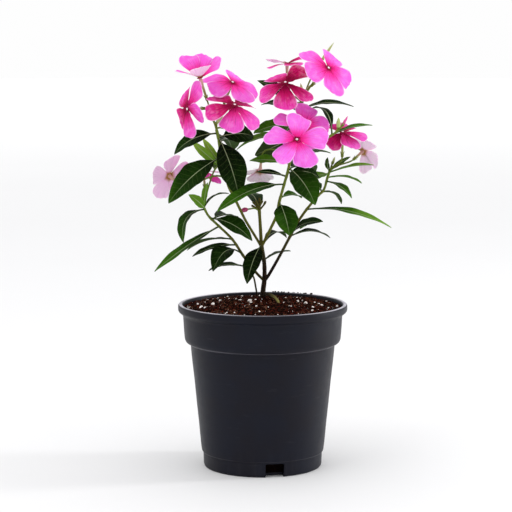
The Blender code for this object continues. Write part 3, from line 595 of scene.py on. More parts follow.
# The pot's painted highlights along its edges: the height, how far each reaches up and down, and how strong
# it is
PAINTED_HIGHLIGHTS = [(126.1, 0.6, 1.0), (96.1, 0.9, 0.2), (12.0, 0.6, 0.04)]
# How far to the sides of the pot's middle the painted highlights begin to grow stronger, and where they are
# strongest
HIGHLIGHT_SIDES = (12, 45)
# How far up the pot settled dust is seen
DUST_HEIGHT = 30


def pot_paint():
    look = settings("pot")
    paint = Paint("nursery_pot_plastic", specular=0.15)
    sideways, _, height = paint.parts(paint.here())
    streaks = paint.spots(1.0, 4, paint.stretched((260, 260, 14)))
    cloud = paint.spots(38, 4)
    scuffs = paint.spots(1.0, 3, paint.stretched((60, 60, 420)))
    plastic = tuple(look.plastic)
    blue = tuple(c * s for c, s in zip(plastic, (0.9, 1.12, 1.25)))
    shade = paint.over(plastic, blue, cloud, 0.35, 0.65)
    dusty = tuple(0.06 + 2 * c for c in plastic)
    settled = paint.ramp(height, DUST_HEIGHT * MM, 0.0) * (0.3 * look.dust)
    settled = settled * paint.ramp(streaks, 0.4, 0.75)
    shade = paint.blend(settled, shade, dusty)
    shade = paint.over(shade, dusty, scuffs, 0.62, 0.8, 0.12)
    # Painted highlights along the lip's top, under the collar and round the foot, stronger towards the pot's
    # sides
    painted_highlight = 0.0
    for edge, reach, share in PAINTED_HIGHLIGHTS:
        off = abs(height - edge * MM)
        painted_highlight = paint.math("MAXIMUM", painted_highlight, paint.ramp(off, reach * MM, 0.2 * reach * MM, 0.0, share))
    painted_highlight = painted_highlight * paint.ramp(cloud, 0.25, 0.6, 0.55, 1.0)
    painted_highlight = painted_highlight * paint.ramp(abs(sideways), HIGHLIGHT_SIDES[0] * MM, HIGHLIGHT_SIDES[1] * MM, 0.45, 1.0)
    shade = paint.blend(painted_highlight, shade, look.painted_highlight)
    paint.set("Roughness", paint.spots(150, 4) * 0.18 + (look.roughness - 0.09))
    grained = paint.relief(paint.spots(1900, 2), 0.00006, 0.5)
    return paint.done(shade, paint.relief(streaks, 0.00012, 0.35, grained))


def rounded(profile, radius, steps=4):
    """A profile with each of its corners turned into a small curve."""
    points = [Vector(p) for p in profile]
    made = [points[0]]
    for before, corner, after in zip(points, points[1:], points[2:]):
        back, onward = before - corner, after - corner
        reach = min(radius, 0.42 * back.length, 0.42 * onward.length)
        start, end = corner + back.normalized() * reach, corner + onward.normalized() * reach
        made += [bent(start, corner, end, i / steps) for i in range(steps + 1)]
    made.append(points[-1])
    return made


POT_SIDES = 180
POT_CORNER = 0.9
RIM_RADIUS = 64.98
LIP_TOP = 126
FLOOR = 2.2
NOTCHES = 3
FIRST_NOTCH = math.radians(-78.5)
NOTCH_WIDTH = 14.2
NOTCH_HEIGHT = 10.4
NOTCH_CORNER = 1.1
# How far from the pot's axis the notches' cutters begin and end
NOTCH_REACH = (38.5, 52.0)

# The pot's outside and, after the floor, its inside, as (radius, height)
POT_OUTSIDE = [
    (0, 0.5), (41.5, 0.5), (42.6, 0), (44.9, 0), (45.6, 1.6), (46.0, 11.2), (47.1, 12.2), (47.9, 18.5),
    (49.3, 34), (51.0, 50), (52.5, 66), (54.2, 81), (55.1, 90), (55.5, 95.1), (57.2, 95.9), (59.2, 97.2),
    (60.0, 99.4), (60.4, 104), (60.8, 110), (61.2, 117.0), (61.9, 118.4), (64.3, 120.2),
    (RIM_RADIUS, 121.4), (RIM_RADIUS, 125.0), (64.1, LIP_TOP), (62.3, LIP_TOP),
]
POT_INSIDE = [
    (61.4, 125.2), (60.3, 118.5), (59.2, 107), (57.9, 98.5), (56.1, 95.6), (53.8, 94.2), (53.4, 88),
    (52.7, 81), (51.1, 66), (48.0, 34), (45.4, 9.5), (44.4, FLOOR + 1.2), (42.6, FLOOR), (0, FLOOR),
]


class PERIWINKLE_OT_pot(bpy.types.Operator):
    """Turn the nursery pot and cut its drainage notches"""

    bl_idname = "periwinkle.pot"
    bl_label = "Pot"

    def execute(self, context):
        skin = Skin()
        profile = rounded(POT_OUTSIDE + POT_INSIDE, POT_CORNER)
        rings = [level_ring(max(radius, 0.02), height, POT_SIDES) for radius, height in profile]
        skin.rings(rings, (0, 0, 0), (0, 0, 0))
        pot = skin.piece("pot_shell", [pot_paint()], "pot_plastic", "pot")
        for turn in turns_round(NOTCHES):
            notch = self.notch(FIRST_NOTCH + turn)
            cut = pot.modifiers.new("notch", "BOOLEAN")
            cut.operation, cut.solver, cut.object = "DIFFERENCE", "EXACT", notch
            made = bpy.data.meshes.new_from_object(pot.evaluated_get(context.evaluated_depsgraph_get()))
            pot.modifiers.clear()
            pot.data = made
            bpy.data.objects.remove(notch, do_unlink=True)
        pot.data.name = "pot_shell"
        return {"FINISHED"}

    @staticmethod
    def notch(turn):
        """A slot with rounded upper corners, standing out from the pot's foot."""
        outward = Vector((math.cos(turn), math.sin(turn), 0))
        sideways = UP.cross(outward)
        half = NOTCH_WIDTH / 2
        shape = [(-half, -1), (half, -1)]
        bends = [math.radians(22.5 * i) for i in range(5)]
        for side, order in ((1, bends), (-1, bends[::-1])):
            for bend in order:
                shape.append((side * (half - NOTCH_CORNER + NOTCH_CORNER * math.cos(bend)),
                              NOTCH_HEIGHT - NOTCH_CORNER + NOTCH_CORNER * math.sin(bend)))
        points = [outward * reach + sideways * x + UP * z for reach in NOTCH_REACH for x, z in shape]
        count = len(shape)
        faces = [range(count)[::-1], range(count, 2 * count)]
        for k in range(count):
            onward = (k + 1) % count
            faces.append((k, onward, count + onward, count + k))
        mesh = bpy.data.meshes.new("notch")
        mesh.from_pydata([p * MM for p in points], [], faces)
        return put("notch", mesh)


SOIL_EDGE = 123.4
SOIL_MOUND = 5.3
MOUND_CENTRE = (0, 14)
SOIL_RADIUS = 60.4
SOIL_RINGS = 84
SOIL_SIDES = 240
# The mix's sides and bottom inside the pot, as (radius, height), and the height that its surface is above.
# Below that height the mix is painted nearly black as shade
SOIL_BELOW = [(59.7, 118), (58.5, 107), (56.6, 98.9), (52.2, 95.4), (45.6, 20), (38.6, 2.5), (0.5, 2.5)]
SOIL_SEEN = 119
# What stands in the mix, the trunk and the shoot: x, y and how far the loose grains keep from it
STANDING = [(0, 20, 3.4), (-4.5, 26.5, 2)]
# Where crumbs lie on the pot's lip at the back, to the right of its middle, and the lip's middle radius
LIP_CRUMBS = [8.5, 10.4, 12.8, 15.5, 17.2, 21, 24.5, 25.6, 28.4, 30.5, 33.2, 34.3, 38.8]
LIP_MIDDLE = 63.0
# The perlite grains that show best: x, y and size
PERLITE = [
    (-47, -12, 1.6), (-44, -18, 1.3), (-17, 6, 1.6), (-10, -2, 1.7), (27, 2, 1.5), (33, -3, 1.7),
    (43, 2, 1.6), (45, -6, 1.3), (-33, 12, 1.1), (-26, 20, 1.0), (50, -12, 1.0), (51, 12, 1.1),
    (18, 24, 1.0), (-38, -6, 1.5), (38, -16, 1.0), (-20, -14, 0.9), (4, -26, 0.8), (-9, -9, 1.2),
    (57, -2, 0.9), (31, 10, 1.0), (-50, 3, 1.1),
]
# The smallest of the other crumbs and grains, and how much larger the largest are
CRUMB_SIZES = (0.35, 1.1)
PERLITE_SIZES = (0.22, 0.7)
# The smallest and the largest of the crumbs on the lip
LIP_CRUMB_SIZES = (0.45, 1.1)
# A crumb of more than this size gets the finer shape
LARGE_CRUMB = 0.9
# How far grains, and the ends of fibres, keep from the mix's edge
GRAIN_MARGIN = 1.6
FIBRE_MARGIN = 1.5
# How much the height of crumbs and of grains is pressed down
CRUMB_FLATNESS = 0.75
GRAIN_FLATNESS = 0.8


def bumps(x, y, layer, scale):
    """Smooth bumps over the mix, from about -1 to 1, with another pattern on each layer."""
    return noise.noise(Vector((x, y, layer)) * scale)


def soil_crumbs(x, y):
    """How far the mix's crumbs stand out, or lie below their middle level."""
    return 0.7 * bumps(x, y, 9, 0.55) + 0.55 * bumps(x, y, 4, 1.3) + 0.35 * bumps(x, y, 7, 2.4)


def soil_height(x, y):
    """The height of the mix: level at the wall, a mound at the plant, and crumbs all over."""
    radius = math.hypot(x, y)
    fall = (1 - (radius / SOIL_RADIUS) ** 2) * (1 - 0.25 * (radius / SOIL_RADIUS) ** 2)
    off_centre = math.dist((x, y), MOUND_CENTRE) / SOIL_RADIUS
    mound = SOIL_MOUND * fall * (1 - 0.35 * off_centre)
    return SOIL_EDGE + mound + 0.7 * bumps(x, y, 3, 0.22) + soil_crumbs(x, y)


def soil_shade(x, y, z):
    """How deep a point of the mix lies between the crumbs, from 0 to 1, for painted shade. Out of sight, on
    the mix's sides and bottom, it is 1: painted nearly black.
    """
    return min(max(0.5 - 1.1 * soil_crumbs(x, y), 0), 1) if z > SOIL_SEEN else 1


def mix_paint():
    look = settings("mix")
    paint = Paint("potting_mix_crumb", roughness=1, specular=0.02)
    coarse, fine, cells = paint.spots(420, 4), paint.spots(1700, 3), paint.cells(700)
    tone, _, hollow_shade = paint.marks("look")
    shade = paint.over(look.dark, look.red, coarse, 0.38, 0.66)
    shade = paint.over(shade, colour(112, 50, 36), fine, 0.5, 0.75)
    # The dark between the crumb cells is partly the mix's own dark colour and partly painted shade in the
    # gaps
    shade = paint.over(shade, look.dark, cells, 0.25, 0.6)
    shade = paint.blend(tone * 0.6, shade, colour(128, 84, 58))
    # Painted shade: nearly black in the hollows between the crumbs and on the mix's sides and bottom
    shade = paint.over(shade, colour(8, 4, 3), hollow_shade, 0.35, 0.8, 0.96)
    return paint.done(shade, paint.relief(fine, 0.0005, 0.7, paint.relief(cells, 0.0006, 0.6)))


def perlite_paint():
    paint = Paint("perlite_grain", roughness=0.85)
    spots = paint.spots(900, 3)
    shade = paint.over(settings("mix").white, colour(214, 172, 160), spots, 0.5, 0.8)
    return paint.done(shade, paint.relief(spots, 0.0003, 0.6))


def fibre_paint():
    paint = Paint("coir_fibre", roughness=0.8)
    shade = paint.blend(paint.marks("look")[0], colour(60, 26, 16), colour(150, 96, 62))
    shade = paint.over(shade, colour(40, 18, 12), paint.spots(600, 2), 0.4, 0.7)
    return paint.done(shade, paint.relief(paint.spots(2500, 2), 0.0001, 0.5))


# The corners and faces of a grain before it is roughened, a solid of twenty triangles
GRAIN = [
    (0, 0, -1), (0.72, -0.53, -0.45), (-0.28, -0.85, -0.45), (-0.89, 0, -0.45), (-0.28, 0.85, -0.45),
    (0.72, 0.53, -0.45), (0.28, -0.85, 0.45), (-0.72, -0.53, 0.45), (-0.72, 0.53, 0.45), (0.28, 0.85, 0.45),
    (0.89, 0, 0.45), (0, 0, 1),
]
GRAIN_FACES = [
    (0, 1, 2), (1, 0, 5), (0, 2, 3), (0, 3, 4), (0, 4, 5), (1, 5, 10), (2, 1, 6), (3, 2, 7), (4, 3, 8),
    (5, 4, 9), (1, 10, 6), (2, 6, 7), (3, 7, 8), (4, 8, 9), (5, 9, 10), (6, 10, 11), (7, 6, 11), (8, 7, 11),
    (9, 8, 11), (10, 9, 11),
]


def grain_shape(detail):
    """A grain's points and faces, with each face split in four as often as detail says."""
    points = [Vector(p).normalized() for p in GRAIN]
    faces = GRAIN_FACES
    for _ in range(detail):
        middles = {}

        def middle(a, b):
            key = (min(a, b), max(a, b))
            if key not in middles:
                middles[key] = len(points)
                points.append((points[a] + points[b]).normalized())
            return middles[key]

        split = []
        for a, b, c in faces:
            ab, bc, ca = middle(a, b), middle(b, c), middle(c, a)
            split += [(a, ab, ca), (b, bc, ab), (c, ca, bc), (ab, bc, ca)]
        faces = split
    return np.array(points), faces


def add_grain(skin, rng, place, size, shape, flatness, tone=0.0):
    """One rough grain, turned and squeezed at random."""
    points, faces = shape
    turn = Vector((rng.gauss(0, 1), rng.gauss(0, 1), rng.gauss(0, 1))).normalized()
    side = turn.orthogonal().normalized()
    axes = np.array([side * rng.uniform(0.7, 1.2), turn.cross(side) * rng.uniform(0.6, 1.1),
                     turn * rng.uniform(0.6, 1.0)])
    lumps = np.array([1 + 0.5 * noise.noise(Vector(p) * 1.4 + Vector(place)) for p in points])
    made = (points * lumps[:, None]) @ axes * size
    made[:, 2] *= flatness
    skin.add(made + np.array(place), faces, (0, 0, 0), (tone, rng.random(), 0))


class PERIWINKLE_OT_mix(bpy.types.Operator):
    """Fill the pot with crumbly mix, perlite grains and fibres"""

    bl_idname = "periwinkle.mix"
    bl_label = "Potting mix"

    def execute(self, context):
        look = settings("mix")
        rng = random.Random(MIX_SEED)
        skin = Skin()
        self.bed(skin, rng)
        small, large = grain_shape(0), grain_shape(1)
        for _ in range(look.crumbs):
            x, y = self.spot(rng)
            size = CRUMB_SIZES[0] + CRUMB_SIZES[1] * rng.random() ** 3
            shape = large if size > LARGE_CRUMB else small
            place = (x, y, soil_height(x, y) + 0.15 * size)
            add_grain(skin, rng, place, size, shape, CRUMB_FLATNESS, 0.5 * rng.random() ** 3)
        for x in LIP_CRUMBS:
            size = rng.uniform(*LIP_CRUMB_SIZES)
            place = (x, math.sqrt(LIP_MIDDLE ** 2 - x * x), LIP_TOP + 0.15 * size)
            add_grain(skin, rng, place, size, large, GRAIN_FLATNESS)
        skin.piece("mix_bed", [mix_paint()], "potting_mix", "soil")

        skin = Skin()
        for i in range(look.perlite):
            x, y = self.spot(rng)
            size = PERLITE_SIZES[0] + PERLITE_SIZES[1] * rng.random() ** 4
            if i < len(PERLITE):
                x, y, size = PERLITE[i]
            add_grain(skin, rng, (x, y, soil_height(x, y) + 0.3 * size), size, large, GRAIN_FLATNESS)
        skin.piece("perlite_grains", [perlite_paint()], "potting_mix")

        skin = Skin()
        for _ in range(look.fibres):
            self.fibre(skin, rng)
        skin.piece("coir_fibres", [fibre_paint()], "potting_mix")
        return {"FINISHED"}

    @staticmethod
    def spot(rng):
        """A random place on the mix, clear of what stands in it."""
        while True:
            radius = (SOIL_RADIUS - GRAIN_MARGIN) * math.sqrt(rng.random())
            turn = rng.uniform(0, 2 * math.pi)
            x, y = radius * math.cos(turn), radius * math.sin(turn)
            if all(math.hypot(x - foot_x, y - foot_y) > clear for foot_x, foot_y, clear in STANDING):
                return x, y

    @staticmethod
    def bed(skin, rng):
        """The mix's own surface, and its sides and bottom inside the pot."""
        rings = [level_ring(0.2, soil_height(0, 0), SOIL_SIDES)]
        for i in range(1, SOIL_RINGS + 1):
            ring = []
            for turn in turns_round(SOIL_SIDES):
                reach = SOIL_RADIUS * i / SOIL_RINGS
                if i < SOIL_RINGS:
                    reach += rng.uniform(-0.2, 0.2)
                x, y = reach * math.cos(turn), reach * math.sin(turn)
                ring.append((x, y, soil_height(x, y)))
            rings.append(ring)
        rings += [level_ring(radius, height, SOIL_SIDES) for radius, height in SOIL_BELOW]
        rings.reverse()
        looks = [[(0, 0, soil_shade(*point)) for point in ring] for ring in rings]
        skin.rings(rings, (0, 0, 0), looks)

    @staticmethod
    def fibre(skin, rng):
        """A short curved thread lying on the mix."""
        x, y = PERIWINKLE_OT_mix.spot(rng)
        heading, length = rng.uniform(0, 2 * math.pi), rng.uniform(2, 7)
        bend, path = rng.uniform(-0.5, 0.5), []
        for i in range(FIBRE_STEPS + 1):
            lying = soil_height(x, y) + 0.25 + 0.3 * math.sin(math.pi * i / FIBRE_STEPS)
            path.append(Vector((x, y, lying)))
            x += length / FIBRE_STEPS * math.cos(heading)
            y += length / FIBRE_STEPS * math.sin(heading)
            heading += bend
            if math.hypot(x, y) > SOIL_RADIUS - FIBRE_MARGIN:
                break
        if len(path) > 2:
            girth = rng.uniform(0.09, 0.2)
            add_tube(skin, path, [girth] * len(path), FIBRE_SIDES, rng.random())


def across(direction, wish):
    """The unit vector nearest to `wish` that is square to `direction`."""
    square = wish - direction * wish.dot(direction)
    if square.length < 1e-4:
        square = direction.orthogonal()
    return square.normalized()


def curve_through(points, steps):
    """Evenly spaced points on a smooth curve through the given ones."""
    knots = [Vector(p) for p in points]
    knots = [2 * knots[0] - knots[1], *knots, 2 * knots[-1] - knots[-2]]
    fine = []
    for a, b, c, d in zip(knots, knots[1:], knots[2:], knots[3:]):
        for i in range(12):
            t = i / 12
            fine.append(0.5 * (2 * b + (c - a) * t + (2 * a - 5 * b + 4 * c - d) * t ** 2
                               + (3 * b - a - 3 * c + d) * t ** 3))
    fine.append(knots[-2])
    run = np.cumsum([0.0] + [(q - p).length for p, q in zip(fine, fine[1:])])
    wants = np.linspace(0, run[-1], steps + 1)
    return [Vector(p) for p in zip(*(np.interp(wants, run, axis) for axis in zip(*fine)))]


def point_at(path, share):
    """The place and the direction of travel a share of the way along an even path."""
    along = min(max(share, 0), 1) * (len(path) - 1)
    k = min(int(along), len(path) - 2)
    return path[k].lerp(path[k + 1], along - k), (path[k + 1] - path[k]).normalized()


def stem_paths():
    """Each stem's path in millimetres, evenly spaced, as the model's solids have it."""
    paths = {name: curve_through(stem.points, CURVE_STEPS) for name, stem in STEMS.items()}
    start = point_at(paths["front_stem"], TWIG_FOOT)[0]
    paths["twig"] = curve_through([start, *TWIG.points], CURVE_STEPS)
    return paths


def leaf_owner(name):
    """The stem whose piece carries what grows on a stem: the twig belongs to the front stem."""
    return "front_stem" if name == "twig" else name


def add_tube(skin, path, radii, sides, tone, finish=0, lobes=0.0, twist=0.0, rough=0.0):
    """A round stem along a path. Tone may be a number or one number for each ring."""
    side = across((path[1] - path[0]).normalized(), FRONT)
    tones = np.broadcast_to(tone, len(path))
    points, places, looks = [], [], []
    run = 0.0
    mark = (path[0].x * 0.37 + path[0].z * 0.11) % 1
    for i, place in enumerate(path):
        before, after = path[max(i - 1, 0)], path[min(i + 1, len(path) - 1)]
        heading = (after - before).normalized()
        side = across(heading, side)
        other = heading.cross(side)
        run += (place - before).length
        ring = []
        for turn in turns_round(sides):
            out = spoke(side, other, turn)
            radius = radii[i] * (1 + lobes * math.cos(PETAL_COUNT * turn - twist * run))
            if rough:
                spot = place + out * 3
                radius += rough * (noise.noise(spot * 0.35) + 0.5 * noise.noise(spot * 1.1))
            ring.append(place + radius * out)
            places.append((run, radii[i] * turn, 0))
            looks.append((tones[i], mark, 0))
        points.append(ring)
    skin.rings(points, places, looks, finish)


def add_blade(skin, rows, columns, thickness):
    """A thin closed blade. Each row is (points, normal, thickness share, places, looks) over the columns.

    The third number of a leaf's place is half its share of the way to the tip, plus 1 on the underside.
    """
    edge = np.sqrt(np.clip(1 - np.abs(columns) ** 8, 0.12, 1))[:, None]
    points, places, looks = [], [], []
    for upper, normal, share, place, look in rows:
        upper = np.asarray(upper, float)
        half = np.asarray(normal, float) * thickness / 2 * edge * np.reshape(share, (-1, 1))
        points.append(np.concatenate([upper + half, (upper - half)[::-1]]))
        places.append(np.concatenate([place, np.array(place)[::-1] + (0, 0, 1)]))
        looks.append(look + look[::-1])
    skin.rings(points, places, looks, flat_ends=True)


def vein_line(along, sideways):
    """1 on a leaf's side veins, falling to 0 between them."""
    reach = abs(sideways)
    phase = along / VEIN_SPACING - reach * VEIN_RISE + reach * reach * VEIN_BEND
    away = abs(phase - math.floor(phase) - 0.5) * 2
    return max(0.0, 1 - away / 0.5)


def add_leaf(skin, leaf, foot, number):
    """A pointed oval leaf: folded along its midrib, waved at its edges and quilted by its veins."""
    look = settings("leaf")
    columns = np.array(LEAF_COLUMNS)
    tip, face = Vector(leaf.tip), Vector(leaf.face)
    reach = (tip - foot).length
    normal = across((tip - foot).normalized(), face)
    bend = foot.lerp(tip, 0.5) + 2 * leaf.arch * normal
    mark = (number * 0.618) % 1
    rows = []
    for i in range(LEAF_ROWS + 1):
        u = i / LEAF_ROWS
        middle = bent(foot, bend, tip, u)
        heading = ((bend - foot) * (1 - u) + (tip - bend) * u).normalized()
        normal = across(heading, face)
        side = normal.cross(heading)
        t = max((u - leaf.stalk) / (1 - leaf.stalk), 0)
        swell = math.sin(math.pi * t ** 0.92) ** 0.8 if 0 < t < 1 else 0
        half = max(leaf.width / 2 * swell, STALK_HALF * (1 - 0.6 * t))
        opened = min(t / BLADE_OPENING, 1)
        points, place, marks = [], [], []
        for v in columns:
            out = half * (1 + 0.018 * math.sin(31 * u + 9 * mark) * abs(v)) * v
            rise = look.fold * half * abs(v) ** 1.15 - 0.07 * half * v ** 4
            rise += look.wave * half * math.sin(9 * u + leaf.width) * v
            rise += 0.035 * half * math.sin(23 * u + 20 * mark) * v * abs(v)
            groove = math.exp(-(out / 0.45) ** 2)
            quilt = vein_line(u * reach, out) * min(abs(v) * 3, 1) * (1 - v * v)
            rise -= opened * VEIN_DEPTH * (groove + quilt)
            points.append(middle + side * out + normal * rise)
            place.append((u * reach, out, u / 2))
            marks.append((between(leaf.tones, u), mark, abs(v)))
        stalk_girth = 1 + 1.3 * (1 - opened) + 0.2 * (1 - t)
        rib = 1 + 1.1 * opened * (1 - t) * np.exp(-((columns * half) / 0.5) ** 2)
        rows.append((points, normal, stalk_girth * rib, place, marks))
    add_blade(skin, rows, columns, look.thickness / MM)


def leaf_paint():
    look = settings("leaf")
    paint = Paint("periwinkle_leaf", specular=0.09, IOR=1.2)
    along, sideways, side_and_share = paint.marks("place")
    tone, mark, edge = paint.marks("look")
    under = paint.math("GREATER_THAN", side_and_share, 0.75)
    share = (side_and_share - under) * 2
    away = abs(sideways)
    midrib = paint.ramp(away, 0.42, 0.1) * paint.ramp(share, 1.0, 0.45, 0.15, 1.0)
    phase = along * (1 / VEIN_SPACING) - away * VEIN_RISE + away * away * VEIN_BEND
    near = abs(paint.math("FRACT", phase) - 0.5)
    veins = paint.ramp(near, 0.09, 0.0) * paint.ramp(edge, 1.0, 0.7)
    place = paint.vector(along * MM, sideways * MM, mark)
    blotch, fine = paint.spots(70, 4, place), paint.spots(900, 3, place)
    shade = paint.shades(tone + (blotch - 0.5) * 0.3, [
        (0.0, colour(5, 6, 7)), (0.12, colour(7, 17, 4)), (0.3, colour(22, 50, 5)),
        (0.5, colour(57, 102, 16)), (0.75, colour(110, 154, 48)), (1.0, colour(162, 194, 74))])
    shade = paint.over(shade, colour(58, 92, 34), fine, 0.45, 0.75, 0.2)
    light = paint.blend(0.2, shade, colour(128, 158, 84))
    shade = paint.blend(veins * 0.45, shade, light)
    # Painted highlight: the leaf's edges are lit lighter
    shade = paint.over(shade, light, edge, 0.93, 1.0, 0.35)
    shade = paint.blend(under * 0.3, shade, colour(96, 124, 66))
    shade = paint.blend(midrib * 0.75, shade, look.vein)
    paint.set("Roughness", blotch * 0.2 + (look.roughness - 0.1) + under * 0.2)
    return paint.done(shade, paint.relief(fine - veins * 1.4, 0.00018, 0.6))


def stem_paint():
    look = settings("stem")
    paint = Paint("green_stem_skin", roughness=0.48, specular=0.25, IOR=1.3)
    along, around, tone = paint.tube_marks()
    streak = paint.spots(1.0, 4, paint.vector(along * 0.25, around * 1.4, tone))
    shade = paint.shades(tone + (streak - 0.5) * 0.5, [
        (0.0, look.green), (0.4, look.olive), (0.75, look.bark), (1.0, dimmed(look.bark, 0.7))])
    shade = paint.over(shade, colour(60, 56, 26), paint.spots(160, 3), 0.45, 0.75, 0.25)
    return paint.done(shade, paint.relief(streak, 0.0003, 0.6))


def bark_paint():
    look = settings("stem")
    paint = Paint("woody_bark", roughness=0.78, specular=0.15)
    along, around, tone = paint.tube_marks()
    streak = paint.spots(1.0, 5, paint.vector(along * 0.35, around * 1.6, tone))
    shade = paint.shades(streak, [
        (0.3, dimmed(look.bark, 0.35)), (0.5, look.bark), (0.72, colour(88, 64, 42))])
    shade = paint.over(shade, colour(70, 62, 40), paint.spots(240, 4), 0.55, 0.75, 0.5)
    shade = paint.over(shade, colour(128, 122, 66), tone, 0.5, 0.1)
    fine = paint.relief(paint.spots(1500, 3), 0.0002, 0.4)
    return paint.done(shade, paint.relief(streak, 0.0006, 0.8, fine))


def petal_paint():
    look = settings("petal")
    paint = Paint("periwinkle_petal", roughness=0.62, specular=0.06, IOR=1.3, Subsurface_Weight=0.45,
                  Subsurface_Radius=(1, 0.55, 0.9), Subsurface_Scale=0.0015)
    along, sideways, under = paint.marks("place")
    depth, mark, edge = paint.marks("look")
    fan = sideways / (along + 5.0)
    streak = paint.spots(1.0, 3, paint.vector(fan * 34, along * 0.09, mark * 50))
    hairline = paint.spots(1.0, 2, paint.vector(fan * 90, along * 0.12, mark))
    cloud = paint.spots(1.0, 3, paint.vector(sideways * 0.2, along * 0.2, mark * 9))
    outer = paint.blend(depth, look.orchid, look.magenta)
    outer = paint.over(outer, look.ruby, depth, 0.95, 1.25)
    middle = paint.over(look.hot, look.ruby, depth, 0.3, 0.95)
    inner = paint.over(look.rose, look.crimson, depth, 0.1, 0.85)
    reach = along * (1.2 - depth * 0.6)
    spread = reach + (streak - 0.5) * 15
    shade = paint.over(middle, outer, spread, 5.5, 14.0)
    shade = paint.over(inner, shade, spread, 2.2, 6.5)
    rays = paint.ramp(streak, 0.5, 0.62) * paint.ramp(reach, 19, 4, 0.0, 0.85)
    shade = paint.blend(rays, shade, inner)
    shade = paint.over(shade, middle, hairline, 0.54, 0.66, 0.5)
    pale = paint.blend(0.62, outer, colour(255, 230, 254))
    far = paint.ramp(along, 8, 17)
    shade = paint.blend(paint.ramp(cloud, 0.42, 0.7) * far * 0.2, shade, pale)
    shade = paint.blend(paint.ramp(edge, 0.87, 1.0) * far * 0.85, shade, pale)
    shade = paint.over(shade, look.crimson, along, 3.4, 1.8)
    back = paint.blend(depth * 0.6, look.back, outer)
    back = paint.over(back, colour(214, 150, 206), streak, 0.5, 0.68, 0.35)
    back = paint.over(back, colour(170, 132, 66), along, 5.5, 2.0)
    fine = paint.relief(hairline, 0.0001, 0.5)
    return paint.done(paint.blend(under, shade, back), paint.relief(streak, 0.0004, 0.7, fine))


def eye_paint():
    """The bloom's mouth and tube: along is the distance out from the axis, or minus that down the tube."""
    look = settings("petal")
    paint = Paint("periwinkle_eye", roughness=0.6, specular=0.08)
    along, around, depth = paint.tube_marks()
    inner = paint.blend(depth, look.rose, look.crimson)
    ray = paint.spots(1.0, 2, paint.vector(around * 3, along, 0))
    out = along + (ray - 0.5) * 0.5
    shade = paint.over(look.eye, look.crimson, out, 0.75, 1.05)
    shade = paint.over(shade, inner, out, 1.7, 2.4)
    shade = paint.over(shade, colour(196, 150, 40), along, 0.4, 0.2)
    tube = paint.over(colour(150, 158, 92), colour(214, 168, 160), along, -12, -2)
    shade = paint.over(shade, tube, along, 0.0, -0.4)
    return paint.done(shade, paint.relief(ray, 0.0002, 0.4))


def bud_paint():
    paint = Paint("twisted_bud", roughness=0.5, specular=0.15)
    along, around, pink = paint.tube_marks()
    streak = paint.spots(1.0, 3, paint.vector(around * 2, along * 0.3, 0))
    shade = paint.shades(pink, [
        (0.0, colour(146, 178, 84)), (0.3, colour(206, 208, 150)), (0.6, colour(238, 160, 204)),
        (0.8, colour(220, 60, 156)), (1.0, colour(176, 18, 104))])
    shade = paint.over(shade, colour(232, 216, 200), streak, 0.45, 0.7, 0.4)
    return paint.done(shade, paint.relief(streak, 0.0002, 0.5))


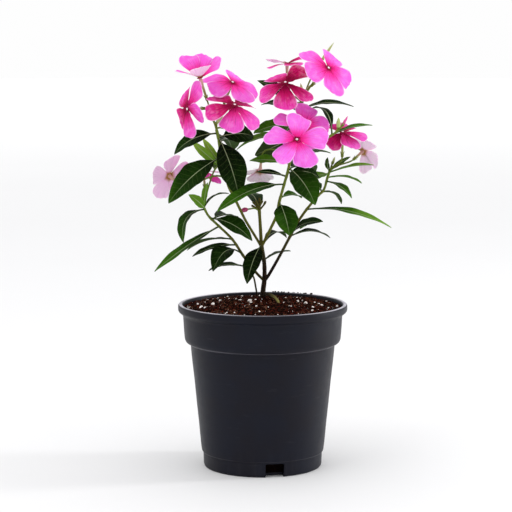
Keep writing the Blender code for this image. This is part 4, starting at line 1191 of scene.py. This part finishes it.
def add_petal(skin, bloom, k, rng):
    """A broad petal on a narrow claw, rounded at its tip, waved at its edge and finely ribbed."""
    look = settings("petal")
    ruffle = look.ruffle / MM
    own = [row[k % len(row)] for row in (bloom.lifts, bloom.turns, bloom.twists, bloom.deeper)]
    raised, turned_by, twisted_by, deeper = own
    outward = Vector(bloom.facing).normalized()
    backward = across(outward, -FRONT)
    turn = math.radians(bloom.roll + 360 / PETAL_COUNT * k + turned_by)
    direction = spoke(backward, outward.cross(backward), turn)
    side = outward.cross(direction)
    tilt = spoke(side, outward, math.radians(twisted_by + rng.uniform(-2, 2)))
    girth = rng.uniform(0.97, 1.08)
    slant = rng.uniform(0.03, 0.09)
    waves, phase, cup = rng.uniform(2.2, 3.4), rng.uniform(0, 6.3), rng.uniform(0.2, 1.0)
    notch = rng.uniform(0, 0.035)
    mark = rng.random()
    # The petal's own number is painted shading: it deepens a shaded petal's colour and pales a lit one's
    depth = bloom.depth + deeper + rng.uniform(-0.06, 0.06)
    columns = np.linspace(-1, 1, PETAL_COLUMNS)
    columns = np.sign(columns) * (1 - (1 - np.abs(columns)) ** 1.25)
    rows = []
    for i in range(PETAL_ROWS + 1):
        u = i / PETAL_ROWS
        lift = math.radians(raised - PETAL_DROOP * u)
        tip = max(u - TIP_START, 0) / (1 - TIP_START)
        swell = math.sin(math.pi / 2 * min(u / 0.8, 1)) ** bloom.claw
        half = CLAW_HALF + PETAL_SHARE * bloom.reach * girth * swell
        half = max(half, CLOSED_SHARE * min(u * bloom.reach + MOUTH_RISE, CLOSED_REACH))
        half *= math.cos(tip * TIP_TURN)
        points, place, marks = [], [], []
        for v in columns:
            forward = u
            if tip > 0:
                bow = tip * (1 - v * v) + math.sin(tip * TIP_TURN) * v * v
                forward = TIP_START + (1 - TIP_START) * bow * (1 - 0.16 * tip * v * v)
                forward -= notch * tip ** 3 * math.exp(-(v / 0.3) ** 2)
            forward += slant * u * u * v
            far = bloom.reach * forward + MOUTH_RISE
            rise = ruffle * math.sin(waves * math.pi * u + phase + 1.7 * v) * u * abs(v) ** 1.5
            rise += 0.3 * ruffle * math.sin(7.3 * u * v + phase) * u
            rise += 0.05 * math.cos(v * 26) * min(u * 3, 1)
            rise += 0.9 * cup * (v * v - 0.25) * math.sin(math.pi * u)
            rise -= 0.35 * math.exp(-(v / 0.16) ** 2) * (1 - u) * min(4 * u, 1)
            spot = Vector(bloom.centre) + spoke(direction, outward, lift) * far
            points.append(spot + tilt * half * v + outward * rise)
            place.append((far, half * v, 0))
            marks.append((depth, mark, max(abs(v), u ** 3 * (1 if u > 0.9 else 0.9))))
        normal = across(tilt, spoke(outward, -direction, lift))
        rows.append((points, normal, 1.25 - 0.5 * u, place, marks))
    add_blade(skin, rows, columns, look.thickness / MM)


def add_turned(skin, base, axis, profile, sides, tone, finish):
    """A small turned shape on an axis, from its foot up. The profile is (radius, height, mark) rows."""
    side = across(axis, FRONT)
    other = axis.cross(side)
    turns = turns_round(sides)
    points = [[base + axis * height + radius * spoke(side, other, turn) for turn in turns]
              for radius, height, _ in profile]
    places = [(mark, turn, 0) for _, _, mark in profile for turn in turns]
    skin.rings(points, places, (tone, 0, 0), finish)


# The eye of a bloom from its edge to the bottom of its mouth, as (radius, height, mark)
EYE_PROFILE = [
    (2.5, 0.15, 2.5), (2.1, 0.42, 2.1), (1.6, 0.58, 1.6), (1.15, 0.72, 1.15), (0.85, 0.86, 0.85),
    (0.6, 0.84, 0.6), (0.42, 0.6, 0.42), (0.32, 0.1, 0.25), (0.2, -0.4, 0.1),
]


class PERIWINKLE_OT_blooms(bpy.types.Operator):
    """Open each bloom: five petals, the eye, and the slender tube"""

    bl_idname = "periwinkle.blooms"
    bl_label = "Blooms"

    def execute(self, context):
        finishes = [petal_paint(), eye_paint()]
        for number, bloom in enumerate(BLOOMS):
            rng = random.Random(BLOOM_SEED + number)
            skin = Skin()
            for k in range(PETAL_COUNT):
                add_petal(skin, bloom, k, rng)
            foot = -bloom.tube
            tube = [(0.62, foot, foot), (0.9, foot + 0.4, foot)]
            tube += [(girth, foot * t, foot * t) for girth, t in ((0.95, 0.6), (1.0, 0.4), (1.3, 0.22))]
            tube += [(1.42, foot * 0.12, -1.5), (1.25, -1.0, -1.0), (1.7, -0.3, -0.3)]
            add_turned(skin, Vector(bloom.centre), Vector(bloom.facing).normalized(), tube + EYE_PROFILE,
                       TUBE_SIDES, bloom.depth, 1)
            skin.piece(bloom.name + "_petals", finishes, "petals", bloom.name)
        return {"FINISHED"}


class PERIWINKLE_OT_leaves(bpy.types.Operator):
    """Grow the leaves of every stem"""

    bl_idname = "periwinkle.leaves"
    bl_label = "Leaves"

    def execute(self, context):
        finish = leaf_paint()
        paths = stem_paths()
        for name in STEMS:
            skin = Skin()
            for number, leaf in enumerate(LEAVES):
                if leaf_owner(leaf.stem) == name:
                    add_leaf(skin, leaf, point_at(paths[leaf.stem], leaf.at)[0], number)
            if skin.count:
                skin.piece(name + "_leaves", [finish], "foliage", name)
        return {"FINISHED"}


def add_stem(skin, name, stem, path, rough=0.0):
    """A stem that swells a little wherever leaves grow from it."""
    swelling = settings("stem").swelling
    whole = sum((q - p).length for p, q in zip(path, path[1:]))
    steps = max(10, round(whole / SWELL_REACH))
    joints = [leaf.at for leaf in LEAVES if leaf.stem == name]
    made, radii, tones = [], [], []
    for i in range(steps + 1):
        share = i / steps
        near = min([abs(share - at) * whole for at in joints], default=math.inf)
        swell = 1 + swelling * math.exp(-(near / SWELL_REACH) ** 2)
        made.append(point_at(path, share)[0])
        radii.append(between((stem.radius, stem.tip_radius), share) * swell)
        tones.append(between(stem.woody, share))
    add_tube(skin, made, radii, STEM_SIDES, tones, rough=rough)


def add_sepals(skin, base, outward, length, spread):
    """Five narrow teeth of a calyx round the tube's foot."""
    side = across(outward, FRONT)
    other = outward.cross(side)
    for k in range(PETAL_COUNT):
        out = spoke(side, other, 2 * math.pi * (k + 0.5) / PETAL_COUNT)
        path = [base + out * (0.75 + spread * t * t) + outward * length * t for t in (0, 0.25, 0.5, 0.75, 1)]
        add_tube(skin, path, [0.42, 0.4, 0.32, 0.22, 0.08], SEPAL_SIDES, SEPAL_TONE)


def add_flower_stalk(skin, start, heading, bloom):
    """A thin stalk to the foot of a bloom, with its calyx."""
    outward = Vector(bloom.facing).normalized()
    seat = Vector(bloom.centre) - outward * (bloom.tube + SEAT_GAP)
    end = seat - outward * CALYX_DEPTH
    reach = (end - start).length
    leaving = (heading + (end - start) / reach).normalized()
    first, last = start + leaving * reach * 0.35, end - outward * reach * 0.35
    path, radii = [], []
    for i in range(STALK_STEPS + 1):
        t = i / STALK_STEPS
        s = 1 - t
        path.append(start * s ** 3 + first * 3 * t * s * s + last * 3 * t * t * s + end * t ** 3)
        radii.append(between(FLOWER_STALK_RADII, t))
    add_tube(skin, path, radii, STALK_SIDES, FLOWER_STALK_TONE)
    cup = [*(end + outward * rise for rise in (-0.4, 0, 0.8, 1.7)), seat + outward * 0.35]
    add_tube(skin, cup, [0.6, 0.85, 1.15, 1.2, 1.12], CALYX_SIDES, CALYX_TONE)
    add_sepals(skin, end + outward * 1.2, outward, 3.6, 1.1)


def add_bud(skin, start, heading, bud):
    """A closed bud: a thin stalk, a small calyx, then a twisted spindle."""
    tip = Vector(bud.tip)
    bend = start + heading * (tip - start).length * 0.45
    path = [bent(start, bend, tip, 0.06 * i) for i in range(11)]
    neck = tip + (path[-1] - tip).normalized() * bud.length
    path[-1] = neck
    add_tube(skin, path, [STALK_HALF] * len(path), STALK_SIDES, BUD_STALK_TONE)
    axis = (tip - neck).normalized()
    add_sepals(skin, neck - axis * 0.4, axis, min(2.6, bud.length * 0.35), 0.5)
    spindle, radii = [], []
    for i in range(BUD_STEPS + 1):
        t = i / BUD_STEPS
        spindle.append(neck.lerp(tip, t))
        radii.append(max(bud.girth * math.sin(math.pi * min(0.2 + 0.8 * t, 0.97)) ** 0.8, 0.12))
    add_tube(skin, spindle, radii, BUD_SIDES, bud.pink, 1, lobes=0.1, twist=0.9)


class PERIWINKLE_OT_stems(bpy.types.Operator):
    """Grow the stems, flower stalks, calyces and buds, and the trunk with its root"""

    bl_idname = "periwinkle.stems"
    bl_label = "Stems"

    def execute(self, context):
        green, bark, buds = stem_paint(), bark_paint(), bud_paint()
        paths = stem_paths()
        for name, stem in STEMS.items():
            skin = Skin()
            trunk = name == "trunk"
            add_stem(skin, name, stem, paths[name], rough=0.22 if trunk else 0.0)
            if name == "front_stem":
                add_stem(skin, "twig", TWIG, paths["twig"])
            for grown, add in ((BLOOMS, add_flower_stalk), (BUDS, add_bud)):
                for one in grown:
                    if leaf_owner(one.stem) == name:
                        add(skin, *point_at(paths[one.stem], one.at), one)
            if name == "centre_stem":
                self.spent(skin, paths[name][-1])
            if trunk:
                self.root(skin)
                skin.piece("trunk_wood", [bark, buds], "bark", name)
            else:
                skin.piece(name + "_stalks", [green, buds], "foliage", name)
        return {"FINISHED"}

    @staticmethod
    def root(skin):
        """A root that lies half out of the mix, greener towards its end."""
        shares = [i / ROOT_STEPS for i in range(ROOT_STEPS + 1)]
        radii = [between(ROOT_RADII, t) for t in shares]
        tones = [between(ROOT_TONES, t) for t in shares]
        add_tube(skin, curve_through(ROOT, ROOT_STEPS), radii, ROOT_SIDES, tones, rough=0.12)

    @staticmethod
    def spent(skin, top):
        """Old flower stalks, dried and broken off at different lengths."""
        rng = random.Random(SPENT_SEED)
        for way in SPENT_STALKS:
            end = top + Vector(way) * 0.85
            bend = top.lerp(end, 0.5) + Vector((rng.uniform(-0.6, 0.6), rng.uniform(-0.6, 0.6), 0))
            path = curve_through([top, bend, end], len(SPENT_RADII) - 1)
            add_tube(skin, path, SPENT_RADII, STALK_SIDES, SPENT_TONE)


# The floor's colour far from the pot, where it passes into the wall
FAR_FLOOR = (0.985, 0.985, 0.99)


def floor_disc(radius, finish):
    """A round floor of rings that lie closer together under the pot."""
    sides = 64
    rings = [level_ring(reach, 0, sides) for reach in (0.01, 0.3, 0.8, 2, 4, radius)]
    faces = [range(sides)]
    for start in range(0, (len(rings) - 1) * sides, sides):
        for k in range(sides):
            onward = (k + 1) % sides
            faces.append((start + k, start + sides + k, start + sides + onward, start + onward))
    mesh = bpy.data.meshes.new("floor")
    mesh.from_pydata([point for ring in rings for point in ring], [], faces)
    mesh.materials.append(finish)
    return put("floor", mesh)


class PERIWINKLE_OT_stage(bpy.types.Operator):
    """Set the camera, the pale floor and the soft lights"""

    bl_idname = "periwinkle.stage"
    bl_label = "Stage"

    def execute(self, context):
        look = settings("stage")
        camera = put("camera", bpy.data.cameras.new("camera"))
        camera.location = (-look.aside, -look.distance, look.height)
        camera.rotation_euler = (math.pi / 2 - look.pitch, 0, 0)
        camera.data.angle = look.view
        camera.data.clip_start, camera.data.clip_end = 0.05, 50
        context.scene.camera = camera
        context.scene.view_settings.view_transform = "Standard"

        paint = Paint("pale_floor", roughness=0.7)
        away = paint.node("VectorMath", {0: paint.here()}, "Value", operation="LENGTH")
        shade = paint.over(look.floor, dimmed(look.floor, 0.99), paint.spots(1.5, 3), 0.3, 0.7)
        paint.set("Base Color", paint.over(shade, FAR_FLOOR, away, 1.0, 6.0))
        floor_disc(12, paint.material)

        self.sky(look)
        self.light("key", (-1.3, -1.2, 2.2), (0, 0, 0.18), (1.3, 1.3), look.key)
        self.light("right_side", (1.6, 0.2, 0.5), (0, 0, 0.14), (0.25, 1.2), 3.4 * look.fill)
        self.light("left_side", (-1.6, 0.2, 0.5), (0, 0, 0.14), (0.35, 1.2), 0.25 * look.fill)
        return {"FINISHED"}

    @staticmethod
    def sky(look):
        """Light from all round, bright near the horizon and from above."""
        world = bpy.data.worlds.new("soft_sky")
        bpy.context.scene.world = world
        world.use_nodes = True
        tree = world.node_tree
        direction = tree.nodes.new("ShaderNodeTexCoord").outputs["Generated"]
        height = tree.nodes.new("ShaderNodeSeparateXYZ")
        tree.links.new(direction, height.inputs[0])
        strength = tree.nodes.new("ShaderNodeValToRGB")
        tree.links.new(height.outputs[2], strength.inputs[0])
        ramp = strength.color_ramp.elements
        ramp.new(0.4)
        ramp.new(0.6)
        stops = ((0.14, look.wall), (0.24, look.side), (0.4, look.side), (0.75, look.top))
        for element, (place, value) in zip(ramp, stops):
            element.position, element.color = place, (value, value, value, 1)
        tree.links.new(strength.outputs[0], tree.nodes["Background"].inputs[0])

    @staticmethod
    def light(name, place, aim, size, power):
        data = bpy.data.lights.new(name, "AREA")
        data.shape = "RECTANGLE"
        data.size, data.size_y = size
        data.energy = power
        lamp = put(name, data)
        lamp.location = place
        lamp.rotation_euler = (Vector(aim) - Vector(place)).to_track_quat("-Z", "Y").to_euler()


class PERIWINKLE_PT_panel(bpy.types.Panel):
    """The periwinkle's settings and steps"""

    bl_idname = "PERIWINKLE_PT_panel"
    bl_label = "Periwinkle"
    bl_space_type = "VIEW_3D"
    bl_region_type = "UI"
    bl_category = "Periwinkle"

    def draw(self, context):
        for group, _, step in STEPS:
            box = self.layout.box()
            box.operator(step.bl_idname)
            look = settings(group)
            for name in look.__annotations__:
                box.prop(look, name)


STEPS = [
    ("pot", PotSettings, PERIWINKLE_OT_pot), ("mix", MixSettings, PERIWINKLE_OT_mix),
    ("stem", StemSettings, PERIWINKLE_OT_stems), ("leaf", LeafSettings, PERIWINKLE_OT_leaves),
    ("petal", PetalSettings, PERIWINKLE_OT_blooms), ("stage", StageSettings, PERIWINKLE_OT_stage),
]


def register():
    for group, made, step in STEPS:
        bpy.utils.register_class(made)
        setattr(bpy.types.Scene, "periwinkle_" + group, bpy.props.PointerProperty(type=made))
        bpy.utils.register_class(step)
    bpy.utils.register_class(PERIWINKLE_PT_panel)


def unregister():
    bpy.utils.unregister_class(PERIWINKLE_PT_panel)
    for group, made, step in reversed(STEPS):
        bpy.utils.unregister_class(step)
        delattr(bpy.types.Scene, "periwinkle_" + group)
        bpy.utils.unregister_class(made)


def main():
    register()
    bpy.ops.periwinkle.pot()
    bpy.ops.periwinkle.mix()
    bpy.ops.periwinkle.stems()
    bpy.ops.periwinkle.leaves()
    bpy.ops.periwinkle.blooms()
    bpy.ops.periwinkle.stage()


if __name__ == "__main__":
    main()
